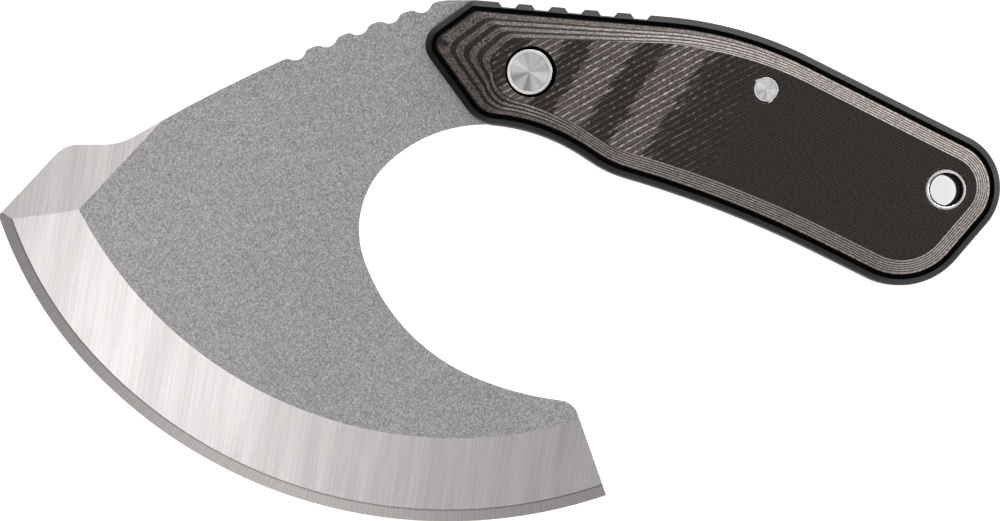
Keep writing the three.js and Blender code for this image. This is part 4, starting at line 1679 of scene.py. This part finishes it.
@dataclass
class Fasteners:
    """The turned steel through the grip: a two-piece rivet, a pin and a lanyard tube.

    barrel, post, tube_bore and tube_outer are radii. head, flare and funnel are depths below the top: of
    the rivet's head, of the tube's lip outside and of its lip inside. The lip is rolled to the radius lip.
    """

    bores: Sequence[Bore]
    lathe: Tool
    rim_width: float = 0.7
    rim_height: float = 0.12
    rim_tones: Ramp = ((0.3, "#f0eeec"), (0.7, "#ffffff"))
    bead: float = 0.05
    arc_steps: int = 8
    head: float = 1.8
    barrel: float = 3.0
    post: float = 1.8
    pin_tones: Ramp = ((0.2, "#cfcdcc"), (0.8, "#ffffff"))
    tube_bore: float = 3.1
    tube_outer: float = 3.6
    tube_tones: Ramp = ((0.2, "#e6e4e3"), (0.8, "#f4f2f1"))
    tube_roughness: float = 0.36
    lip: float = 0.38
    flare: float = 1.3
    funnel: float = 1.1
    sharp: float = 40.0

    def build(self) -> None:
        """Builds the rivet's two halves, the pin and the tube."""
        rivet, pin, tube = self.bores
        self.rivet_half(rivet, "rivet_barrel", "front_rivet_barrel", Side.LEFT)
        self.rivet_half(rivet, "rivet_post", "front_rivet_post", Side.RIGHT)
        self.pin(pin)
        self.tube(tube)

    def finish(self, piece: Object, node: str) -> None:
        """Shades a fastener and hands it over for its node."""
        shade(piece, self.sharp)
        settle(piece, Slot.FASTENER, node)

    def face_profile(self, radius: float, top: float, rim: float) -> list[Pair]:
        """Profile of a turned face from its axis to its side: a face set down inside a rounded rim.

        Args:
            radius: outside radius.
            top: height of the rim's top.
            rim: the rim's width.

        Returns:
            Radius and height, point by point.
        """
        floor, inner = top - self.rim_height, radius - rim
        profile = [(0, floor + self.bead), (inner - self.bead, floor), (inner, floor - self.bead),
                   (inner + self.bead, top)]
        for step in range(self.arc_steps + 1):
            angle = math.pi / 2 * step / self.arc_steps
            short, drop = 1 - math.sin(angle), 1 - math.cos(angle)
            profile.append((radius - self.rim_height * short, top - self.rim_height * drop))
        return profile

    def polish_rim(self, piece: Object, bore: Bore, rim: float) -> None:
        """Gives the land round a turned face a polished finish.

        Args:
            piece: the fastener.
            bore: its place.
            rim: the rim's width.
        """
        piece.data.materials.append(BrokenEdge(f"polished_rim_of_{bore.node}", self.rim_tones).material())
        for face in piece.data.polygons:
            face.material_index = int(bore.off_axis(face) > bore.radius - rim)

    def rivet_half(self, bore: Bore, name: str, node: str, side: Side) -> None:
        """Builds one half of the rivet.

        Args:
            bore: its place.
            name: the piece's name.
            node: the node that it stands for.
            side: the face that its head is on.
        """
        seat = bore.top - self.head
        profile = self.face_profile(bore.radius, bore.top, self.rim_width) + [(bore.radius, seat)]
        if side is Side.LEFT:
            profile += [(self.barrel, seat), (self.barrel, -seat), (self.post, -seat), (self.post, seat)]
            profile += [(0, seat)]
        else:
            profile += [(self.post, seat), (self.post, -seat), (0, -seat)]
        profile = [(radius, height * side.value) for radius, height in profile]
        steel = TurnedSteel(f"lathe_faced_steel_of_{node}", tuple(bore.axis)).material()
        piece = turned(self.lathe, bore, name, profile, steel)
        self.polish_rim(piece, bore, self.rim_width)
        self.finish(piece, node)

    def pin(self, bore: Bore) -> None:
        """Builds the rear pin, with alike ends.

        Args:
            bore: its place.
        """
        rim = self.rim_width / 2
        upper = self.face_profile(bore.radius, bore.top, rim)
        profile = upper + [(radius, -height) for radius, height in reversed(upper)]
        steel = TurnedSteel("lathe_faced_steel_of_pin", tuple(bore.axis), self.pin_tones).material()
        piece = turned(self.lathe, bore, "steel_pin", profile, steel)
        self.polish_rim(piece, bore, rim)
        self.finish(piece, "rear_pin")

    def tube(self, bore: Bore) -> None:
        """Builds the lanyard tube, rolled over at both ends.

        Args:
            bore: its place.
        """
        top, lip, crest = bore.top, self.lip, bore.radius - self.lip
        upper = [(self.tube_outer, top - self.flare)]
        for step in range(2 * self.arc_steps + 1):
            angle = math.pi / 2 * step / self.arc_steps
            upper.append((crest + lip * math.cos(angle), top - lip + lip * math.sin(angle)))
        upper.append((self.tube_bore, top - self.funnel))
        profile = upper + [(radius, -height) for radius, height in reversed(upper)]
        steel = TurnedSteel("polished_steel_of_tube", tuple(bore.axis), self.tube_tones,
                            roughness=self.tube_roughness, anisotropy=0.0).material()
        piece = turned(self.lathe, bore, "flared_tube", profile, steel, closed=True)
        # Painted shade: the inner wall of the bore gets a near-black material
        piece.data.materials.append(ShadedBore("painted_shade_of_tube_bore").material())
        for face in piece.data.polygons:
            face.material_index = int(bore.off_axis(face) < crest - lip)
        self.finish(piece, "lanyard_tube")


# Studio


@dataclass(frozen=True)
class Lamp:
    """A soft box: where it is, how big it is and how bright its surface is. Sizes are in metres."""

    name: str
    place: tuple[float, float, float]
    size: Pair
    level: float

    def light(self) -> None:
        """Hangs the soft box, turned to the knife."""
        data = bpy.data.lights.new(self.name, "AREA")
        data.shape = "RECTANGLE"
        data.size, data.size_y = self.size
        data.energy = self.level * math.pi * self.size[0] * self.size[1]
        lamp = bpy.data.objects.new(self.name, data)
        lamp.location = self.place
        lamp.rotation_euler = Vector(self.place).to_track_quat("Z", "Y").to_euler()
        bpy.context.scene.collection.objects.link(lamp)


@dataclass
class Studio:
    """A white sweep, soft boxes and a camera that looks straight down.

    The sky's brightness goes from the first of ambient to the second over the span of sky_span, which is
    of how squarely a direction faces bright_side. The floor's size and the camera's limit are in metres.
    """

    layout: Layout
    picture_width: float = 200.0
    distance: float = 1500.0
    sensor: float = 36.0
    view_limit: float = 10.0
    centre_on_drawing: Pair = (0.0, -0.1)
    floor_size: float = 6.0
    floor_colour: Colour = (0.8, 0.8, 0.8, 1)
    floor_glow: float = 0.78
    ambient: Pair = (0.06, 0.66)
    sky_span: Pair = (0.3, 0.9)
    bright_side: tuple[float, float, float] = (0.2, 0.1, 0.95)
    lamps: tuple[Lamp, ...] = (
        Lamp("bevel_box", (-0.3, -0.18, 1.1), (0.32, 0.34), 1.7),
        Lamp("false_edge_box", (-0.28, 0.28, 1.1), (0.24, 0.24), 1.8),
        Lamp("edge_box", (-0.26, -0.56, 1.1), (0.42, 0.2), 1.7),
        Lamp("spine_strip", (0.2, 1.1, 0.32), (1.4, 0.5), 6.0),
        Lamp("belly_strip", (0.3, -1.1, 0.32), (1.2, 0.4), 3.0),
        Lamp("butt_box", (1.1, 0.1, 0.32), (0.6, 0.4), 8.0),
    )

    def build(self) -> None:
        """Sets up the floor, the light and the camera."""
        self.sweep()
        self.sky()
        for lamp in self.lamps:
            lamp.light()
        self.camera()
        bpy.context.scene.view_settings.view_transform = "Standard"

    def sweep(self) -> None:
        """Lays the white floor, which keeps a soft shadow."""
        half = self.floor_size / 2
        corners = [(-half, -half, 0), (half, -half, 0), (half, half, 0), (-half, half, 0)]
        mesh = bpy.data.meshes.new("floor")
        mesh.from_pydata(corners, [], [(0, 1, 2, 3)])
        floor = new_piece("floor", mesh)
        material = bpy.data.materials.new("white_sweep")
        tree = empty_tree(material)
        paper = add(tree, "ShaderNodeBsdfDiffuse", {"Color": self.floor_colour})
        path = add(tree, "ShaderNodeLightPath").outputs
        seen = path["Is Camera Ray"]
        for ray in ("Is Glossy Ray", "Is Transmission Ray"):
            seen = add(tree, "ShaderNodeMath", {0: seen, 1: path[ray]}, operation="MAXIMUM").outputs[0]
        level = add(tree, "ShaderNodeMath", {0: seen, 1: self.floor_glow}, operation="MULTIPLY")
        glow = add(tree, "ShaderNodeEmission", {"Strength": level.outputs[0]})
        both = add(tree, "ShaderNodeAddShader", {0: paper.outputs[0], 1: glow.outputs[0]})
        add(tree, "ShaderNodeOutputMaterial", {"Surface": both.outputs[0]})
        mesh.materials.append(material)

    def sky(self) -> None:
        """Fills the studio with light that falls off to the dark side, and is white to the camera."""
        world = bpy.data.worlds.new("studio")
        tree = empty_tree(world)
        way = add(tree, "ShaderNodeTexCoord").outputs["Generated"]
        bright = tuple(Vector(self.bright_side).normalized())
        facing = add(tree, "ShaderNodeVectorMath", {0: way, 1: bright}, operation="DOT_PRODUCT")
        fading = {"Value": facing.outputs["Value"], **span(self.sky_span, self.ambient)}
        level = add(tree, "ShaderNodeMapRange", fading, interpolation_type="SMOOTHSTEP").outputs[0]
        path = add(tree, "ShaderNodeLightPath").outputs
        seen = add(tree, "ShaderNodeMath", {0: level, 1: path["Is Camera Ray"]}, operation="MAXIMUM")
        back = add(tree, "ShaderNodeBackground", {"Strength": seen.outputs[0]})
        add(tree, "ShaderNodeOutputWorld", {"Surface": back.outputs[0]})
        bpy.context.scene.world = world

    def camera(self) -> None:
        """Hangs the camera over the knife."""
        data = bpy.data.cameras.new("camera")
        data.sensor_width = self.sensor
        data.lens = self.sensor * self.distance / self.picture_width
        data.clip_end = self.view_limit
        camera = bpy.data.objects.new("camera", data)
        spot = Vector(self.centre_on_drawing) + self.layout.shift
        camera.location = (spot.x * MM, spot.y * MM, (self.layout.middle + self.distance) * MM)
        bpy.context.scene.collection.objects.link(camera)
        bpy.context.scene.camera = camera


def main() -> None:
    """Builds the knife and the studio."""
    LOG.setLevel(logging.INFO)
    LOG.addHandler(logging.StreamHandler())
    layout = Layout()
    bores = [
        Bore(layout, "front_rivet_barrel", shank=3.5, seat=5.1, depth=1.8, sink=0.2, drift=(0.2, 0.06)),
        Bore(layout, "rear_pin", shank=2.65, seat=2.75, depth=1.0, sink=0.1),
        Bore(layout, "lanyard_tube", shank=3.8, seat=4.25, depth=1.4, sink=0.1),
    ]
    Studio(layout).build()
    lathe = turned_tool()
    blade = Blade(layout)
    blade.build()
    grip = Grip(layout, bores, wall_tool(), notch_tool(), lathe)
    grip.rubber(blade.merged("tang_cutter"))
    for side in Side:
        grip.scale(side)
    Fasteners(bores, lathe).build()


if __name__ == "__main__":
    main()
